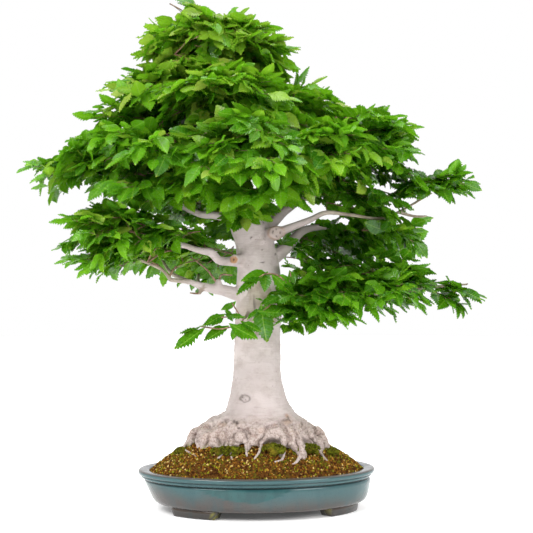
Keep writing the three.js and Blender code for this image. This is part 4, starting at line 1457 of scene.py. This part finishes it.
# Half length and height of the mound, an oval whose width is the same share of its length all over.
MOUND = [(183.0, 66.0), (176, 72), (158, 86), (128, 104), (104, 117), (60, 120), (2, 120)]
MOUND_WIDTH_SHARE = 0.7
MOUND_RINGS = 44
SOIL_SIDES = 130
# The soil's unseen lower part, half lengths and heights.
SOIL_UNDER = [(2, 20.6), (169, 20.6), (175, 27), (182.4, 62)]

GRANULES = 9500
GRANULE_SIZES = (1.1, 2.4)
MOSS_LUMPS = 13
LUMP_SIZE = np.array([6.5, 6, 5.5])
LUMP_SIDES = 14
LUMP_RINGS = 8
MOSS_TUFTS = 620

# A small eight-sided body: its corners and faces.
CORNERS = np.array([(1, 0, 0), (0, 1, 0), (-1, 0, 0), (0, -1, 0), (0, 0, 1), (0, 0, -1)], float)
FACES = np.array([(0, 1, 4), (1, 2, 4), (2, 3, 4), (3, 0, 4), (1, 0, 5), (2, 1, 5), (3, 2, 5), (0, 3, 5)])


def soil_height(points):
    """Height of the soil's surface at each point."""
    unturned = turned_back(points)
    half_length = np.hypot(unturned[:, 0], unturned[:, 1] / MOUND_WIDTH_SHARE)
    lengths, heights = np.array(MOUND[::-1]).T
    return np.interp(half_length, lengths, heights) + noise_at(points * [1, 1, 0], 14, 11) * 1.6


def on_mound(angles, lengths):
    """Points on the soil's surface at angles and half lengths of the mound's oval."""
    spots = turned_with_pot(oval(angles, lengths, MOUND_WIDTH_SHARE * lengths))
    spots[:, 2] = soil_height(spots)
    return spots


def scattered(spots, bodies):
    """An eight-sided body at each spot, from the corners of each about its spot."""
    offsets = np.arange(len(spots))[:, None, None] * len(CORNERS)
    return (spots[:, None] + bodies).reshape(-1, 3), [(FACES + offsets).reshape(-1, 3)]


def add_ground():
    shares = np.linspace(0, 1, MOUND_RINGS)
    lengths = np.interp(shares, np.linspace(0, 1, len(MOUND)), [row[0] for row in MOUND])
    rings = oval_rings(SOIL_UNDER, SOIL_SIDES) + [on_mound(round_angles(SOIL_SIDES), x) for x in lengths]
    mesh = new_mesh("soil_ground", lathe(rings))
    points = points_of(mesh)
    points[:, 2] += np.where(points[:, 2] > 64, noise_at(points, 4, 12) * 0.9, 0)
    place_points(mesh, points)
    new_piece("soil_ground", mesh, soil_material(), ["soil"])


def add_granules():
    rng = np.random.default_rng(31)
    angles = rng.uniform(0, 2 * np.pi, GRANULES)
    spots = on_mound(angles, np.sqrt(rng.uniform(90**2, MOUND[0][0] ** 2, GRANULES)))
    spots[:, 2] += 0.4
    sizes = rng.uniform(*GRANULE_SIZES, GRANULES)
    squash = rng.uniform(0.7, 1.25, (GRANULES, 1, 3))
    jitter = 1 + rng.normal(0, 0.13, (GRANULES, len(CORNERS), 1))
    bodies = CORNERS * sizes[:, None, None] * squash * jitter
    mesh = new_mesh("soil_granules", scattered(spots, bodies))
    cells = (rng.integers(GRANULE_TILES, size=(GRANULES, 1, 2)) + 0.5) / GRANULE_TILES
    small = (CORNERS[:, :2] * 0.4 / GRANULE_TILES)[None]
    set_map(mesh, (cells + small).reshape(-1, 2))
    new_piece("soil_granules", mesh, granule_material())


def add_moss():
    """Each cushion is a drift of small lumps on the soil, with loose tufts over and around it."""
    material = moss_material()
    for index, name in enumerate(sorted(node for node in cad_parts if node.startswith("moss_"))):
        low, high = (np.array(corner) * 1000 - POT_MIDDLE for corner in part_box(name))
        centre, half = (low + high) / 2, (high - low) / 2
        rng = np.random.default_rng(60 + index)
        shapes = [moss_lump(centre, half, rng) for _ in range(MOSS_LUMPS)]
        shapes.append(moss_tufts(centre, half, rng))
        new_piece(name + "_tufts", new_mesh(name + "_tufts", joined(shapes)), material, [name])


def moss_lump(centre, half, rng):
    """A knobbly closed ball somewhere in a cushion."""
    spot = centre + unit(rng.normal(size=3)) * half * rng.uniform(0, 0.7)
    spot[2] = max(spot[2], soil_height(spot[None])[0])
    size = rng.uniform(0.5, 1.1) * LUMP_SIZE
    rings = []
    for angle in np.linspace(0.05, math.pi - 0.05, LUMP_RINGS):
        girth = math.sin(angle)
        rings.append(spot + oval(round_angles(LUMP_SIDES), girth, girth, -math.cos(angle)) * size)
    points, faces = lathe(rings)
    away = unit(points - spot)
    return points + away * (noise_at(points, 8, 13) * 2.5 + noise_at(points, 3, 14) * 1.2)[:, None], faces


def moss_tufts(centre, half, rng):
    """Loose tufts over a cushion and on the soil around it."""
    spread = np.sqrt(rng.uniform(0, 1, (MOSS_TUFTS, 1)))
    spread = spread * rng.choice([0.95, 1.3], (MOSS_TUFTS, 1), p=[0.75, 0.25])
    spots = centre + unit(rng.normal(size=(MOSS_TUFTS, 3)) * [1, 1, 0]) * half * spread * [1, 1, 0]
    away = np.linalg.norm((spots - centre)[:, :2] / half[:2], axis=1)
    dome = centre[2] + half[2] * np.sqrt(np.maximum(1 - away**2, 0)) * rng.uniform(0.2, 1, MOSS_TUFTS)
    spots[:, 2] = np.maximum(np.where(away < 1, dome, 0), soil_height(spots) + 1)
    return scattered(spots, CORNERS * (rng.uniform(0.8, 1.9, (MOSS_TUFTS, 1, 3)) * [1, 1, 1.2]))


# Stage, lights and camera.

FOCAL_PIXELS = 1415
FRAME_PIXELS = 533
SENSOR_WIDTH = 36
WHITE = (1, 1, 1, 1)
CROWN_MIDDLE = (0, 0, 450)
# Radius of the white floor's rings, and how far each lies under the ground.
FLOOR_RINGS = [(6000, 20), (6000, 0.05), (10, 0.05)]
FLOOR_SIDES = 96


def row_place(point):
    return Vector((np.array(point, float) + POT_MIDDLE) / 1000)


def add_camera():
    camera = bpy.data.cameras.new("camera")
    camera.sensor_width = SENSOR_WIDTH
    camera.lens = FOCAL_PIXELS / FRAME_PIXELS * SENSOR_WIDTH
    holder = new_object("camera", camera)
    holder.location = row_place(CAMERA_PLACE)
    holder.rotation_euler = (math.pi / 2, 0, 0)
    bpy.context.scene.camera = holder


def add_softbox(name, place, target, size, power):
    light = bpy.data.lights.new(name, "AREA")
    light.shape = "SQUARE"
    light.size = size
    light.energy = power
    holder = new_object(name, light)
    holder.location = row_place(place)
    holder.rotation_euler = (row_place(target) - holder.location).to_track_quat("-Z", "Y").to_euler()


def add_world():
    """White as the camera sees it, and dimmer towards the front where it lights things."""
    shade = Shade("studio", world=True)
    place = shade.node("TexCoord").outputs["Generated"]
    split = shade.node("SeparateXYZ", {0: place})
    strength = shade.between(split.outputs[1], -0.7, 0.3, 0.42, 1.0)
    soft = shade.node("Background", {"Strength": strength, "Color": WHITE}).outputs[0]
    seen = shade.node("Background", {"Color": WHITE, "Strength": 1.0}).outputs[0]
    is_seen = shade.node("LightPath").outputs["Is Camera Ray"]
    both = shade.node("MixShader", {0: is_seen, 1: soft, 2: seen}).outputs[0]
    bpy.context.scene.world = shade.finish(both, "OutputWorld")


def floor_material():
    """White, with a painted glow that is faint under the pot, where its shadow stays, and stronger away
    from it.
    """
    shade = Shade("studio_floor")
    grain = shade.noise(shade.place(), 3.0, 2.0)
    body = shade.mix(shade.between(grain, 0.3, 0.7), (0.86, 0.86, 0.86, 1), (0.88, 0.88, 0.88, 1))
    away = shade.node("VectorMath", {0: shade.place((1, 1, 0))}, operation="LENGTH").outputs["Value"]
    # A painted glow, though the floor is no lamp: faint near the pot and stronger further away.
    near, far = shade.between(away, 0.10, 0.21, 0.05, 0.50), shade.between(away, 0.4, 2.5, 0.0, 0.22)
    glow = shade.math("ADD", near, far)
    inputs = {"Base Color": body, "Roughness": 0.9, "Emission Color": WHITE, "Emission Strength": glow}
    return shade.finish(shade.node("BsdfPrincipled", inputs).outputs[0])


def add_floor():
    material = floor_material()
    rings = [oval(round_angles(FLOOR_SIDES), radius, radius, -drop) for radius, drop in FLOOR_RINGS]
    mesh = new_mesh("studio_floor", lathe(rings))
    mesh.materials.append(material)
    floor = new_object("studio_floor", mesh)


def add_screens():
    net = net_material()
    for name in ("drain_screen_left", "drain_screen_right"):
        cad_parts[name].material_slots[0].material = net


add_wood()
add_pot()
add_ground()
add_granules()
add_moss()
add_screens()
add_foliage()
add_floor()
add_world()
add_camera()
add_softbox("key_light", (-1500, -2100, 2300), CROWN_MIDDLE, 1.6, 92)
add_softbox("fill_light", (1900, -1700, 1200), CROWN_MIDDLE, 1.4, 36)
add_softbox("top_light", (0, 300, 2600), (0, 0, 500), 1.8, 30)

bpy.context.scene.view_settings.view_transform = "Standard"
